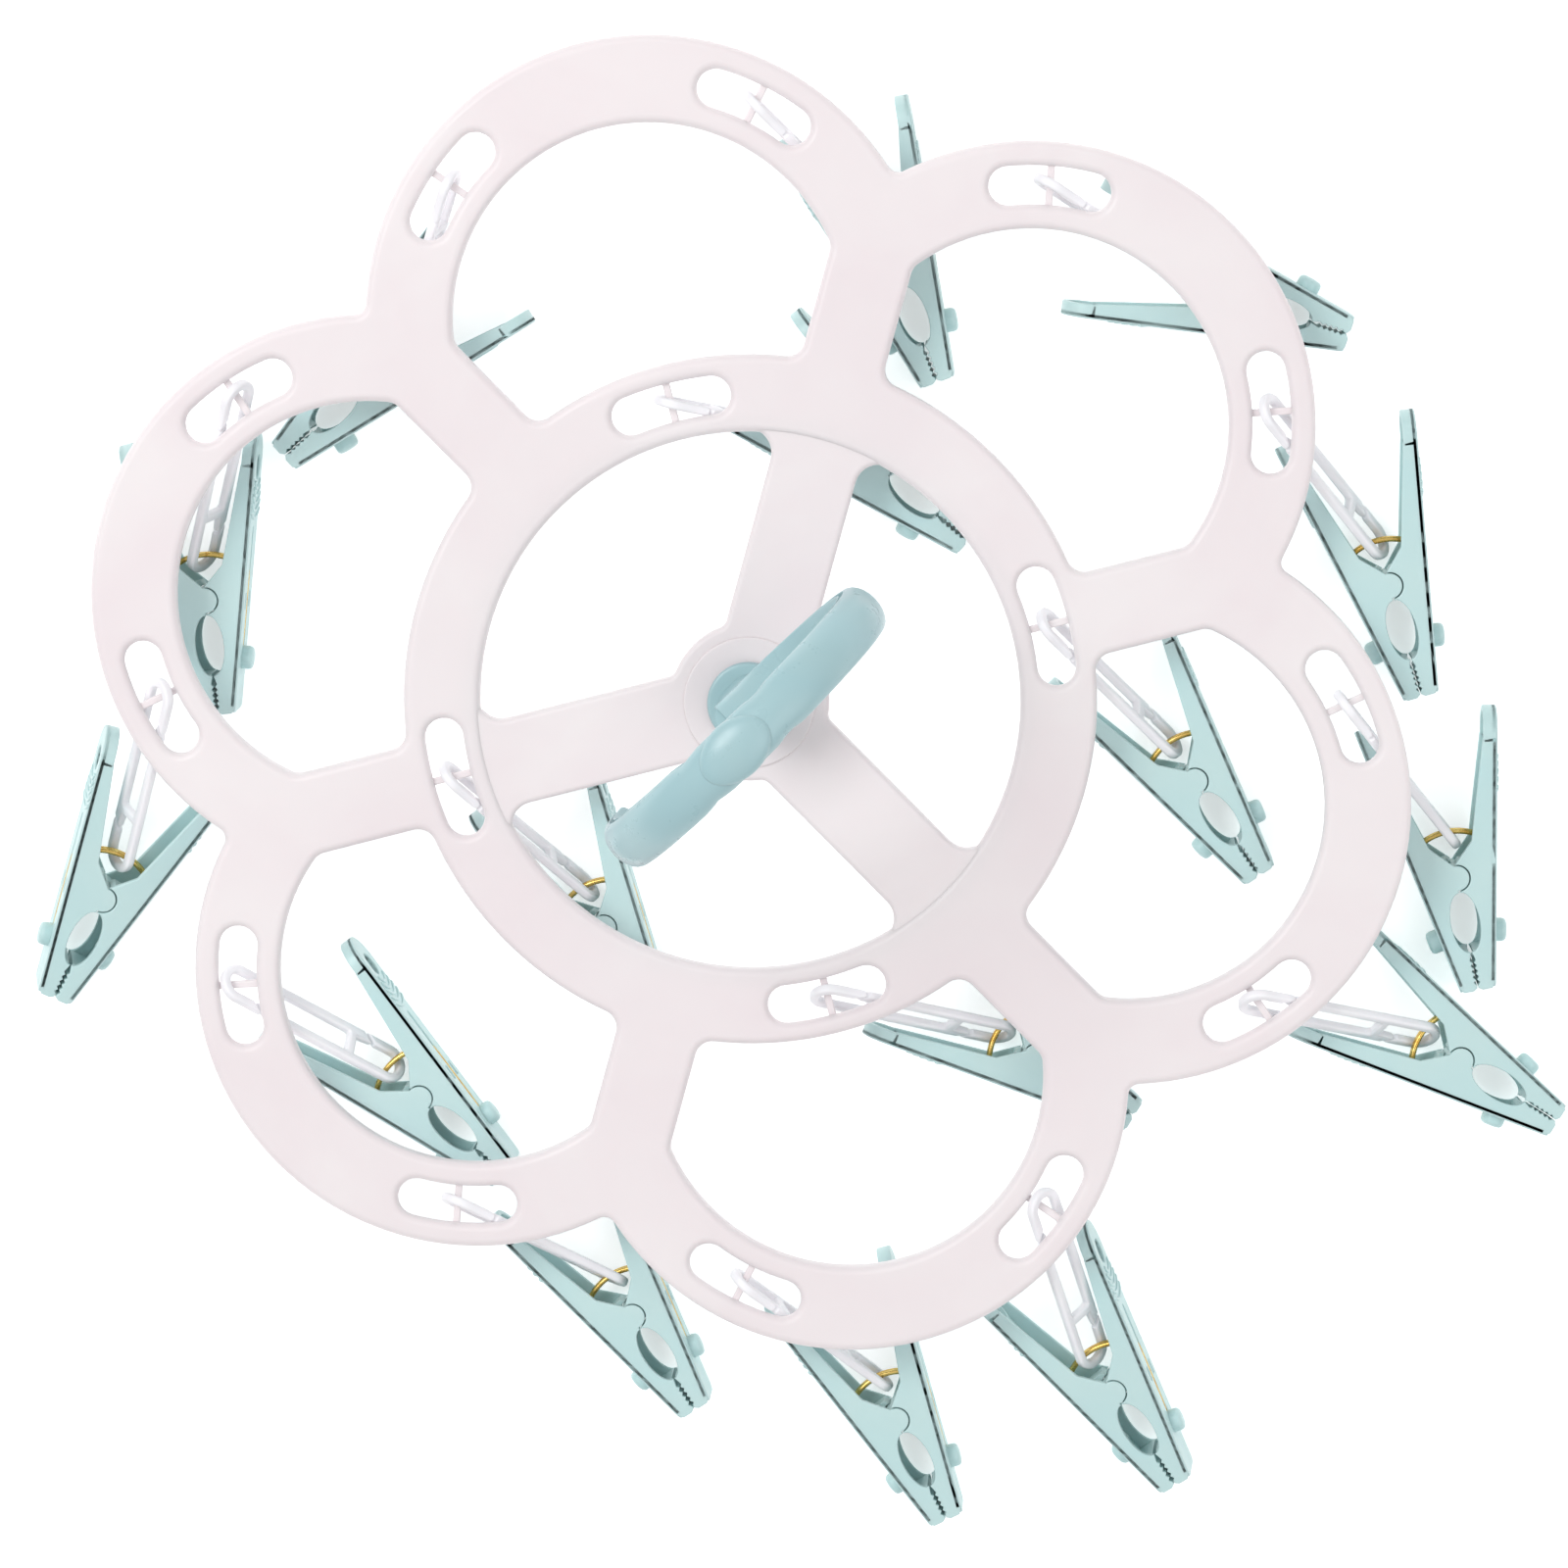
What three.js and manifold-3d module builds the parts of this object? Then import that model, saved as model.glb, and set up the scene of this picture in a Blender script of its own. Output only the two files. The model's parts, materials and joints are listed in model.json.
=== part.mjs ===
// Clip drying hanger: a six-petal frame with a swivel hook, sixteen S-hook links and sixteen
// spring clips, lying folded out on a flat surface. Millimetres, +Z up, origin on the swivel axis
// at the level of the frame's lower edge. Lengths are measured as moulded.
import * as THREE from 'three';
import { mergeVertices } from 'three/addons/utils/BufferGeometryUtils.js';
import Module from 'manifold-3d';

const wasm = await Module();
wasm.setup();

const DEG = Math.PI / 180;
const GAP = 0.3; // clearance between touching pieces

// Frame
const PETAL_COUNT = 6;
const PETAL_RADIUS = 70.7; // outer radius of a petal's ring
const PETAL_REACH = 98.4; // hanger axis to petal centre
const PETAL_BAND = 21.6; // width of a petal's ring
const WALL_HALF = 10.5; // half width of the wall between two petals
const NOTCH_FILLET = 3;
const RING_RADIUS = 87; // centre ring, outer
const RING_BAND = 19.2;
const PETAL_CORNER = 4.5; // fillet in the corners of a petal's hole
const SPOKE_COUNT = 3;
const SPOKE_WIDTH = 22;
const SPOKE_CORNER = 6;
const SPOKE_START = 60; // heading of the first spoke, degrees
const HUB_RADIUS = 20;
const HUB_CORNER = 3;
const FRAME_HEIGHT = 4.5;
const FRAME_PLATE = 2; // thickness of the top plate
const FRAME_WALL = 1.6; // thickness of the skirt under the plate's edges

// Slots with their cross bars
const SLOT_LENGTH = 30.5;
const SLOT_WIDTH = 9.6;
const SLOT_SPREAD = 41; // heading of an outer slot about its petal's centre, from the petal's axis
const BAR_WIDTH = 1.8;
const BAR_HEIGHT = 1.8;
const BAR_DROP = 2.4; // top of the bar below the frame's top
const BAR_TOP = FRAME_HEIGHT - BAR_DROP;

// Swivel hook
const HOOK_HEADING = 30; // heading of the hook's closed side, degrees
const HOOK_WIDTH = 14;
const HOOK_THICKNESS = 6.5;
const HOOK_RADIUS = 40.5; // of the hook's middle line
const HOOK_RISE = 22; // height of the middle line's lowest point above the hub
const HOOK_LEAN = 3; // middle of the round part, towards the closed side
const HOOK_TIP = 200; // middle line's angle at the free tip, degrees
const HOOK_POCKET = 4; // depth of the side recesses
const HOOK_FLANGE = 1.7;
const HOOK_BASE_RADIUS = 10.4;
const HOOK_BASE_HEIGHT = 3;
const NECK_RADIUS = 6.5;
const STEM_RADIUS = 3.8;
const CROWN_LENGTH = 15; // raised pad on top of the hook
const CROWN_RISE = 1.2;
const WASHER_RADIUS = 8.4;
const WASHER_HEIGHT = 0.8;
const CAP_RADIUS = 8.4;
const CAP_HEIGHT = 1;

// Link
const LINK_LENGTH = 58;
const LINK_WIDTH = 10.4;
const LINK_LIMB = 2.4;
const LINK_THICKNESS = 2.4;
const LINK_WINDOW = 21;
const LINK_CROSSBAR = 2.5;
const EYE_PLAY = 0.4; // between a bar or wire and the end of its eye
const LINK_MOUTH = 0.9; // slit between a hook's free end and its horn

// Clip, each half as u from the tip to the handle, v out from the closing plane, w across
const CLIP_LENGTH = 70;
const CLIP_WIDTH = 14;
const CLIP_TIP = 4.5; // outer face's v at the tip
const CLIP_SLOPE = 0.196; // rise of the outer face along the clip
const CLIP_WALL = 1.5;
const CONTACT_LENGTH = 10;
const THROAT_LENGTH = 15.5; // oval opening behind the contact faces
const THROAT_HALF = 3.5;
const PIVOT_U = 29.3;
const LOBE_RADIUS = 3.2;
const HANDLE_START = 38;
const HANDLE_DEPTH = 6.5; // depth of the handle's side walls at HANDLE_START
const HANDLE_END_DEPTH = 3;
const HANDLE_HOLE_RADIUS = 3.25;
const HANDLE_HOLE_U = 61.5;
const BOSS_U = 13.5;
const BOSS_RADIUS = 3;
const BOSS_RISE = 3;
const SQUEEZE_ANGLE = 18;

// Spring wire between the handles, two strands side by side
const WIRE = 1.4;
const ARCH_U = 40.5; // the strands' middle line at the apex
const ARCH_RADIUS = 14.4;
const ARCH_HALF = 9.2; // half the distance between the strands' ends

// How the hanger lies: the surface is this far below the frame's lower edge
const TABLE_DEPTH = 27;

// Each clip in turn: where its bar is, then headings in degrees. `link` points from the bar to the
// clip, `clip` from the handles to the tip, and the rolls turn each piece about its own length.
// The springs are alike, and half of them are drawn.
const CLIPS = [
  { petal: 90, side: -1, link: -61, linkRoll: 0, clip: -84, clipRoll: 0, spring: true },
  { petal: 90, side: 1, link: -124, linkRoll: 10, clip: 208, clipRoll: 0, spring: true },
  { petal: 30, side: 1, link: -49, linkRoll: -10, clip: -33, clipRoll: 180, spring: true },
  { petal: 30, side: -1, link: -66, linkRoll: 30, clip: -88, clipRoll: 0, spring: true },
  { petal: -30, side: 1, link: -67, linkRoll: 0, clip: -93, clipRoll: 0, spring: true },
  { petal: -30, side: -1, link: -30, linkRoll: -45, clip: -47, clipRoll: 6 },
  { petal: -90, side: 1, link: -88, linkRoll: 50, clip: -71, clipRoll: 174 },
  { petal: -90, side: -1, link: -56, linkRoll: 0, clip: -78, clipRoll: 0, spring: true },
  { petal: -150, side: 1, link: -47, linkRoll: -20, clip: -71, clipRoll: 0, spring: true },
  { petal: -150, side: -1, link: -49, linkRoll: 40, clip: -57, clipRoll: 0 },
  { petal: 150, side: 1, link: -122, linkRoll: -45, clip: 228, clipRoll: 15 },
  { petal: 150, side: -1, link: -121, linkRoll: 30, clip: -99, clipRoll: 180 },
  { ring: 90, link: -28, linkRoll: 0, clip: -54, clipRoll: 0, spring: true },
  { ring: 0, link: -61, linkRoll: 20, clip: -70, clipRoll: 0 },
  { ring: -90, link: -31, linkRoll: -40, clip: -46, clipRoll: 6 },
  { ring: 180, link: -59, linkRoll: 10, clip: -77, clipRoll: 0 },
];

const white = new THREE.MeshStandardMaterial({ color: 0xefe8ec, roughness: 0.45 });
const green = new THREE.MeshStandardMaterial({ color: 0xaccbcd, roughness: 0.35 });
const wireFinish = new THREE.MeshStandardMaterial({ color: 0xb9a25a, roughness: 0.3, metalness: 1 });

// ---- helpers -------------------------------------------------------------------------------

const turned = (angle, length) => [length * Math.cos(angle), length * Math.sin(angle)];

// Points of an arc from angle `from` to angle `to`, in radians, both ends included.
function arc(cx, cy, radius, from, to, steps) {
  const points = [];
  for (let i = 0; i <= steps; i += 1) {
    const [x, y] = turned(from + ((to - from) * i) / steps, radius);
    points.push([cx + x, cy + y]);
  }
  return points;
}

const turnPoints = (points, angle) => points.map(([x, y]) => [
  x * Math.cos(angle) - y * Math.sin(angle),
  x * Math.sin(angle) + y * Math.cos(angle),
]);

function prism(points, low, high) {
  const shape = new THREE.Shape(points.map(([x, y]) => new THREE.Vector2(x, y)));
  const geometry = new THREE.ExtrudeGeometry(shape, { depth: high - low, bevelEnabled: false });
  return solid(geometry.translate(0, 0, low));
}

function disc(radius, low, high, sides) {
  return prism(arc(0, 0, radius, 0, 2 * Math.PI * (1 - 1 / sides), sides - 1), low, high);
}

// A closed three.js geometry as a solid that can be joined and cut.
function solid(geometry) {
  const bare = geometry.clone();
  bare.deleteAttribute('normal');
  bare.deleteAttribute('uv');
  const merged = mergeVertices(bare, 1e-4);
  return new wasm.Manifold(new wasm.Mesh({
    numProp: 3,
    vertProperties: merged.attributes.position.array,
    triVerts: merged.index.array,
  }));
}

function geometryOf(manifold) {
  const { vertProperties, triVerts } = manifold.getMesh();
  const geometry = new THREE.BufferGeometry();
  geometry.setAttribute('position', new THREE.BufferAttribute(vertProperties, 3));
  geometry.setIndex(new THREE.BufferAttribute(triVerts, 1));
  geometry.computeVertexNormals();
  return geometry;
}

const joined = (pieces) => pieces.reduce((a, b) => a.add(b));
const without = (body, cuts) => cuts.reduce((a, b) => a.subtract(b), body);

function piece(name, manifold, material, placement = new THREE.Matrix4()) {
  const mesh = new THREE.Mesh(geometryOf(manifold), material);
  mesh.name = name;
  mesh.applyMatrix4(placement);
  return mesh;
}

// ---- frame ---------------------------------------------------------------------------------

// The flower's outline, moved inwards by `inset`.
function flowerOutline(inset) {
  const half = Math.PI / PETAL_COUNT;
  const radius = PETAL_RADIUS - inset;
  const fillet = NOTCH_FILLET + inset;
  const wallLine = PETAL_REACH * Math.cos(half);
  const aside = PETAL_REACH * Math.sin(half);
  const notch = wallLine + Math.sqrt((radius + fillet) ** 2 - aside ** 2);
  const [nx, ny] = turned(half, notch);
  const toNotch = Math.atan2(ny, nx - PETAL_REACH);
  const outline = [];
  for (let k = 0; k < PETAL_COUNT; k += 1) {
    const petal = arc(PETAL_REACH, 0, radius, -toNotch, toNotch, 20);
    const valley = arc(nx, ny, fillet, toNotch + Math.PI, 2 * half - toNotch + Math.PI, 4);
    const heading = Math.PI / 2 + (2 * Math.PI * k) / PETAL_COUNT;
    outline.push(...turnPoints([...petal, ...valley.slice(1, -1)], heading));
  }
  return outline;
}

// A hole between two walls that run from the axis at +-`half`. `near` is the circle about the axis
// that it starts at, `far` the circle about (reach, 0) that it ends at; the corners are filleted.
function sectorOutline({ half, wall, reach, near, far, nearFillet, farFillet, steps }) {
  const along = reach * Math.cos(half);
  const across = reach * Math.sin(half);
  const place = (distance, height) => [
    distance * Math.cos(half) + height * Math.sin(half),
    distance * Math.sin(half) - height * Math.cos(half),
  ];
  const farHeight = wall + farFillet;
  const farRun = along + Math.sqrt((far - farFillet) ** 2 - (across - farHeight) ** 2);
  const nearHeight = wall + nearFillet;
  const nearRun = Math.sqrt((near + nearFillet) ** 2 - nearHeight ** 2);
  const [fx, fy] = place(farRun, farHeight);
  const [mx, my] = place(nearRun, nearHeight);
  const farAngle = Math.atan2(fy, fx - reach);
  const nearAngle = Math.atan2(my, mx);
  const wallNormal = half + Math.PI / 2;
  const farArc = arc(reach, 0, far, 0, farAngle, steps);
  const farCorner = arc(fx, fy, farFillet, farAngle, wallNormal, 2);
  const nearCorner = arc(mx, my, nearFillet, wallNormal, nearAngle + Math.PI, 3);
  const nearArc = arc(0, 0, near, nearAngle, 0, Math.ceil(steps / 2));
  const upper = [...farArc, ...farCorner.slice(1), ...nearCorner, ...nearArc.slice(1)];
  const lower = upper.slice(1, -1).map(([x, y]) => [x, -y]).reverse();
  return [...upper, ...lower];
}

const petalHole = (grow) => sectorOutline({
  half: Math.PI / PETAL_COUNT,
  wall: WALL_HALF - grow,
  reach: PETAL_REACH,
  near: RING_RADIUS - grow,
  far: PETAL_RADIUS - PETAL_BAND + grow,
  nearFillet: PETAL_CORNER + grow,
  farFillet: PETAL_CORNER + grow,
  steps: 7,
});

const spokeHole = (grow) => sectorOutline({
  half: Math.PI / SPOKE_COUNT,
  wall: SPOKE_WIDTH / 2 - grow,
  reach: 0,
  near: HUB_RADIUS - grow,
  far: RING_RADIUS - RING_BAND + grow,
  nearFillet: HUB_CORNER + grow,
  farFillet: SPOKE_CORNER + grow,
  steps: 6,
});

// Every opening of the frame, each grown by `grow`.
function holeOutlines(grow) {
  const outlines = [];
  for (let k = 0; k < PETAL_COUNT; k += 1) {
    outlines.push(turnPoints(petalHole(grow), Math.PI / 2 + (2 * Math.PI * k) / PETAL_COUNT));
  }
  for (let k = 0; k < SPOKE_COUNT; k += 1) {
    const middle = (SPOKE_START + 180 / SPOKE_COUNT) * DEG + (2 * Math.PI * k) / SPOKE_COUNT;
    outlines.push(turnPoints(spokeHole(grow), middle));
  }
  return outlines;
}

// Where a clip's bar is: the centre its slot curves about, its radius there and its heading.
function slotPlace({ petal, side, ring }) {
  if (ring !== undefined) {
    return { cx: 0, cy: 0, radius: RING_RADIUS - RING_BAND / 2, heading: ring * DEG };
  }
  const [cx, cy] = turned(petal * DEG, PETAL_REACH);
  const heading = (petal + side * SLOT_SPREAD) * DEG;
  return { cx, cy, radius: PETAL_RADIUS - PETAL_BAND / 2, heading };
}

function slotOutline({ cx, cy, radius, heading }) {
  const end = SLOT_WIDTH / 2;
  const spread = (SLOT_LENGTH / 2 - end) / radius;
  const first = arc(0, 0, radius + end, -spread, spread, 2);
  const [x, y] = turned(spread, radius);
  const cap = arc(x, y, end, spread, spread + Math.PI, 5);
  const second = arc(0, 0, radius - end, spread, -spread, 2);
  const [x2, y2] = turned(-spread, radius);
  const cap2 = arc(x2, y2, end, Math.PI - spread, 2 * Math.PI - spread, 5);
  const outline = [...first, ...cap.slice(1, -1), ...second, ...cap2.slice(1, -1)];
  return turnPoints(outline, heading).map(([px, py]) => [cx + px, cy + py]);
}

// A slot's cross bar, with a foot at each end up to the plate.
function slotBar({ cx, cy, radius, heading }) {
  const foot = SLOT_WIDTH / 2 + GAP;
  const reach = foot + BAR_WIDTH;
  const bottom = BAR_TOP - BAR_HEIGHT;
  const top = FRAME_HEIGHT - FRAME_PLATE / 2;
  const side = [
    [-reach, bottom],
    [reach, bottom],
    [reach, top],
    [foot, top],
    [foot, BAR_TOP],
    [-foot, BAR_TOP],
    [-foot, top],
    [-reach, top],
  ];
  return upright(side, -BAR_WIDTH / 2, BAR_WIDTH / 2)
    .translate([radius, 0, 0])
    .rotate([0, 0, heading / DEG])
    .translate([cx, cy, 0]);
}

function flowerFrame() {
  const plateBottom = FRAME_HEIGHT - FRAME_PLATE;
  const outer = prism(flowerOutline(0), 0, FRAME_HEIGHT);
  const openings = holeOutlines(0).map((outline) => prism(outline, -1, FRAME_HEIGHT + 1));
  const channel = without(
    prism(flowerOutline(FRAME_WALL), -1, plateBottom),
    holeOutlines(FRAME_WALL).map((outline) => prism(outline, -2, FRAME_HEIGHT)),
  ).subtract(disc(HUB_RADIUS - GAP, -2, FRAME_HEIGHT, 32));
  const places = CLIPS.map(slotPlace);
  const slots = places.map((place) => prism(slotOutline(place), -1, FRAME_HEIGHT + 1));
  const recess = disc(CAP_RADIUS + GAP, -1, CAP_HEIGHT + WASHER_HEIGHT + 2 * GAP, 32);
  const stemHole = disc(STEM_RADIUS + GAP, -1, FRAME_HEIGHT + 1, 24);
  const plate = without(outer, [...openings, channel, ...slots]);
  return without(joined([plate, ...places.map(slotBar)]), [recess, stemHole]);
}

// ---- hook ----------------------------------------------------------------------------------

// The hook's side outline: the middle line's circle, thickened, with its tip, stem and base left
// to be joined on. `inset` moves every edge inwards.
function hookBand(inset) {
  const half = HOOK_THICKNESS / 2 - inset;
  const middle = HOOK_RISE + HOOK_RADIUS;
  const start = -95 * DEG;
  const end = HOOK_TIP * DEG;
  const outside = arc(HOOK_LEAN, middle, HOOK_RADIUS + half, start, end, 30);
  const [tx, tz] = turned(end, HOOK_RADIUS);
  const tip = arc(HOOK_LEAN + tx, middle + tz, half, end, end + Math.PI, 6);
  const inside = arc(HOOK_LEAN, middle, HOOK_RADIUS - half, end, start, 24);
  return [...outside, ...tip.slice(1, -1), ...inside];
}

// The neck between base and round part, as seen from the side.
function hookNeck(inset) {
  const top = HOOK_RISE + HOOK_THICKNESS;
  const half = NECK_RADIUS - inset;
  const bottom = HOOK_BASE_HEIGHT - 0.5;
  return [
    [-half, bottom],
    [half, bottom],
    [HOOK_LEAN + half * 0.7, top * 0.55],
    [HOOK_LEAN + half * 1.6, top - inset * 2],
    [HOOK_LEAN - half * 0.9, top - inset * 2],
    [-half * 0.6, top * 0.55],
  ];
}

// Turns an outline drawn as (along the hook, up) into a slab of the hook, `low` to `high` across.
function upright(outline, low, high) {
  const shape = new THREE.Shape(outline.map(([x, y]) => new THREE.Vector2(x, y)));
  const geometry = new THREE.ExtrudeGeometry(shape, { depth: high - low, bevelEnabled: false });
  return solid(geometry.translate(0, 0, low).rotateX(Math.PI / 2));
}

function hookBody() {
  const half = HOOK_WIDTH / 2;
  const crownMiddle = 90 * DEG;
  const crownSpread = CROWN_LENGTH / 2 / HOOK_RADIUS;
  const crownOut = HOOK_RADIUS + HOOK_THICKNESS / 2 + CROWN_RISE;
  const middle = HOOK_RISE + HOOK_RADIUS;
  const [first, last] = [crownMiddle - crownSpread, crownMiddle + crownSpread];
  const crown = [
    ...arc(HOOK_LEAN, middle, crownOut, first, last, 6),
    ...arc(HOOK_LEAN, middle, HOOK_RADIUS, last, first, 6),
  ];
  const solidPart = joined([
    upright(hookBand(0), -half, half),
    upright(hookNeck(0), -NECK_RADIUS, NECK_RADIUS),
    upright(crown, -half, half),
  ]);
  const pockets = [
    upright(hookBand(HOOK_FLANGE), half - HOOK_POCKET, half + 1),
    upright(hookBand(HOOK_FLANGE), -half - 1, HOOK_POCKET - half),
  ];
  const base = disc(HOOK_BASE_RADIUS, 0, HOOK_BASE_HEIGHT, 32);
  const stem = disc(STEM_RADIUS, CAP_HEIGHT - FRAME_HEIGHT, HOOK_BASE_HEIGHT / 2, 24);
  return joined([without(solidPart, pockets), base, stem]);
}

function hookParts() {
  const top = FRAME_HEIGHT + GAP;
  const placement = new THREE.Matrix4().makeRotationZ(HOOK_HEADING * DEG).setPosition(0, 0, top);
  const washer = disc(WASHER_RADIUS, CAP_HEIGHT + GAP, CAP_HEIGHT + GAP + WASHER_HEIGHT, 32)
    .subtract(disc(STEM_RADIUS + GAP, 0, FRAME_HEIGHT, 24));
  return [
    piece('swivel_hook', hookBody(), green, placement),
    piece('hook_washer', washer, white),
    piece('hook_cap', disc(CAP_RADIUS, 0, CAP_HEIGHT, 32), green),
  ];
}

// ---- link ----------------------------------------------------------------------------------

// x runs from the bar's eye to the clip's eye, y across; the two hooks are each other turned
// half a turn, so the outline is one half and its copy.
function linkBody() {
  const half = LINK_WIDTH / 2;
  const inner = half - LINK_LIMB;
  const windowStart = (LINK_LENGTH - LINK_WINDOW) / 2;
  const eyeEnd = windowStart - LINK_CROSSBAR;
  const slant = LINK_LIMB * 1.15;
  const hornTip = eyeEnd - 4.6;
  const freeEnd = hornTip - LINK_MOUTH * 1.4;
  const hook = [
    ...arc(half, 0, half, Math.PI / 2, 1.5 * Math.PI, 10),
    [freeEnd + slant, -half],
    [freeEnd, -inner],
    ...arc(half, 0, inner, 1.5 * Math.PI, Math.PI / 2, 8),
    [eyeEnd, inner],
    [eyeEnd, -inner + 0.6],
    [hornTip, -inner],
    [hornTip + slant, -half],
  ];
  const copy = hook.map(([x, y]) => [LINK_LENGTH - x, -y]);
  const opening = [
    [windowStart, -inner],
    [LINK_LENGTH - windowStart, -inner],
    [LINK_LENGTH - windowStart, inner],
    [windowStart, inner],
  ];
  const level = LINK_THICKNESS / 2;
  return prism([...hook, ...copy], -level, level).subtract(prism(opening, -level - 1, level + 1));
}

// ---- clip ----------------------------------------------------------------------------------

const outerFace = (u) => CLIP_TIP + CLIP_SLOPE * u;

// One half's side outline, drawn as (u, v).
function jawOutline() {
  const contactEnd = CONTACT_LENGTH;
  const throatEnd = CONTACT_LENGTH + THROAT_LENGTH;
  const plane = GAP / 2;
  const throat = [];
  for (let i = 0; i <= 5; i += 1) {
    const angle = Math.PI * (1 - i / 5);
    const u = (contactEnd + throatEnd) / 2 + (THROAT_LENGTH / 2) * Math.cos(angle);
    throat.push([u, plane + THROAT_HALF * Math.sin(angle)]);
  }
  return [
    [0, plane + 1],
    [1, plane],
    ...throat,
    [PIVOT_U, plane],
    [HANDLE_START, outerFace(HANDLE_START) - HANDLE_DEPTH],
    [CLIP_LENGTH, outerFace(CLIP_LENGTH) - HANDLE_END_DEPTH],
    [CLIP_LENGTH, outerFace(CLIP_LENGTH)],
    [0, outerFace(0)],
  ];
}

// The clip's plan, drawn as (u, w) and cut through both halves: straight sides, a round handle end.
function jawPlan(inset) {
  const half = CLIP_WIDTH / 2 - inset;
  const start = inset > 0 ? CONTACT_LENGTH + inset : -1;
  const end = arc(CLIP_LENGTH - CLIP_WIDTH / 2, 0, half, -Math.PI / 2, Math.PI / 2, 6);
  return [[start, -half], ...end, [start, half]];
}

// A prism over a (u, w) outline, from `low` to `high` along v.
function acrossPrism(outline, low, high) {
  const shape = new THREE.Shape(outline.map(([x, y]) => new THREE.Vector2(x, y)));
  const geometry = new THREE.ExtrudeGeometry(shape, { depth: high - low, bevelEnabled: false });
  return solid(geometry.translate(0, 0, low).rotateX(Math.PI / 2).scale(1, -1, -1));
}

// The channel's inside, open towards the closing plane and parallel to the outer face.
function jawPocket() {
  const block = acrossPrism(jawPlan(CLIP_WALL), -2 * CLIP_WIDTH, 2 * CLIP_WIDTH);
  const under = prism([
    [0, -CLIP_WIDTH],
    [CLIP_LENGTH, -CLIP_WIDTH],
    [CLIP_LENGTH, outerFace(CLIP_LENGTH) - CLIP_WALL],
    [0, outerFace(0) - CLIP_WALL],
  ], -CLIP_WIDTH, CLIP_WIDTH);
  return block.intersect(under);
}

function jawBody() {
  const half = CLIP_WIDTH / 2;
  const lobe = prism(arc(PIVOT_U, 0, LOBE_RADIUS, 0, 2 * Math.PI * (9 / 10), 9), GAP / 2, half);
  const socket = prism(
    arc(PIVOT_U, 0, LOBE_RADIUS + GAP, 0, 2 * Math.PI * (9 / 10), 9),
    -half - 1,
    GAP / 2 - 0.01,
  );
  const hole = acrossPrism(
    arc(HANDLE_HOLE_U, 0, HANDLE_HOLE_RADIUS, 0, 2 * Math.PI * (7 / 8), 7),
    0,
    2 * CLIP_WIDTH,
  );
  const boss = acrossPrism(
    arc(BOSS_U, 0, BOSS_RADIUS, 0, 2 * Math.PI * (7 / 8), 7),
    outerFace(BOSS_U) - CLIP_WALL,
    outerFace(BOSS_U) + BOSS_RISE,
  );
  const side = prism(jawOutline(), -half, half);
  const plan = acrossPrism(jawPlan(0), -CLIP_WIDTH, 2 * CLIP_WIDTH);
  const shell = without(joined([side.intersect(plan), lobe]), [socket, jawPocket(), hole]);
  return joined([shell, boss]);
}

// The spring's arch: two strands as one flat wire, bowed towards the handle ends.
function springArch() {
  const centre = ARCH_U - ARCH_RADIUS;
  const spread = Math.asin(ARCH_HALF / ARCH_RADIUS);
  const outside = arc(centre, 0, ARCH_RADIUS + WIRE / 2, -spread, spread, 8);
  const inside = arc(centre, 0, ARCH_RADIUS - WIRE / 2, spread, -spread, 8);
  return prism([...outside, ...inside], -WIRE, WIRE);
}

// ---- how the clips lie ---------------------------------------------------------------------

// How far from a link's end the middle of a bar or wire lies in its eye: further in the more the
// link leans, because the eye is as deep as the link is thick. `along` is the bar's direction.
function eyeReach(along, linkAxes, radius) {
  const inLink = along.clone().applyMatrix4(linkAxes.clone().transpose());
  const slope = Math.min(Math.abs(inLink.x / inLink.z), 3);
  return LINK_LIMB + radius * Math.sqrt(1 + slope ** 2) + (LINK_THICKNESS / 2) * slope + EYE_PLAY;
}

// Axes of a piece whose x points along `heading` (radians), `dip` below the horizon, with its
// z to the left and level, then rolled about x.
function lying(heading, dip, roll) {
  const x = new THREE.Vector3(
    Math.cos(heading) * Math.cos(dip),
    Math.sin(heading) * Math.cos(dip),
    -Math.sin(dip),
  );
  const z = new THREE.Vector3(-Math.sin(heading), Math.cos(heading), 0).applyAxisAngle(x, roll);
  const y = new THREE.Vector3().crossVectors(z, x);
  return new THREE.Matrix4().makeBasis(x, y, z);
}

// The clip's axes: u from the tip to the handles, v level and w up before it is rolled. It tips
// about v until its lower edge lies along the surface.
function lyingClip(heading, roll) {
  const dip = -Math.atan(CLIP_SLOPE) * Math.sin(Math.abs(roll));
  const x = new THREE.Vector3(
    -Math.cos(heading) * Math.cos(dip),
    -Math.sin(heading) * Math.cos(dip),
    -Math.sin(dip),
  );
  const y = new THREE.Vector3(Math.sin(heading), -Math.cos(heading), 0).applyAxisAngle(x, roll);
  const z = new THREE.Vector3().crossVectors(x, y);
  return new THREE.Matrix4().makeBasis(x, y, z);
}

// How far a lying clip's lowest corner is below its arch.
function archHeight(axes) {
  let lowest = 0;
  for (const u of [0, CLIP_LENGTH]) {
    for (const v of [-outerFace(u), outerFace(u)]) {
      for (const w of [-CLIP_WIDTH / 2, CLIP_WIDTH / 2]) {
        const corner = new THREE.Vector3(u - ARCH_U, v, w).applyMatrix4(axes);
        lowest = Math.min(lowest, corner.z);
      }
    }
  }
  return -lowest;
}

// The one turn, as an axis and an angle in degrees, that takes one set of axes to another.
function turnBetween(from, to) {
  const turn = to.clone().multiply(from.clone().transpose());
  const q = new THREE.Quaternion().setFromRotationMatrix(turn);
  if (q.w < 0) q.set(-q.x, -q.y, -q.z, -q.w);
  const sine = Math.sqrt(1 - q.w * q.w);
  const axis = new THREE.Vector3(q.x / sine, q.y / sine, q.z / sine);
  return { axis, angle: (2 * Math.acos(q.w)) / DEG, turn };
}

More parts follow.
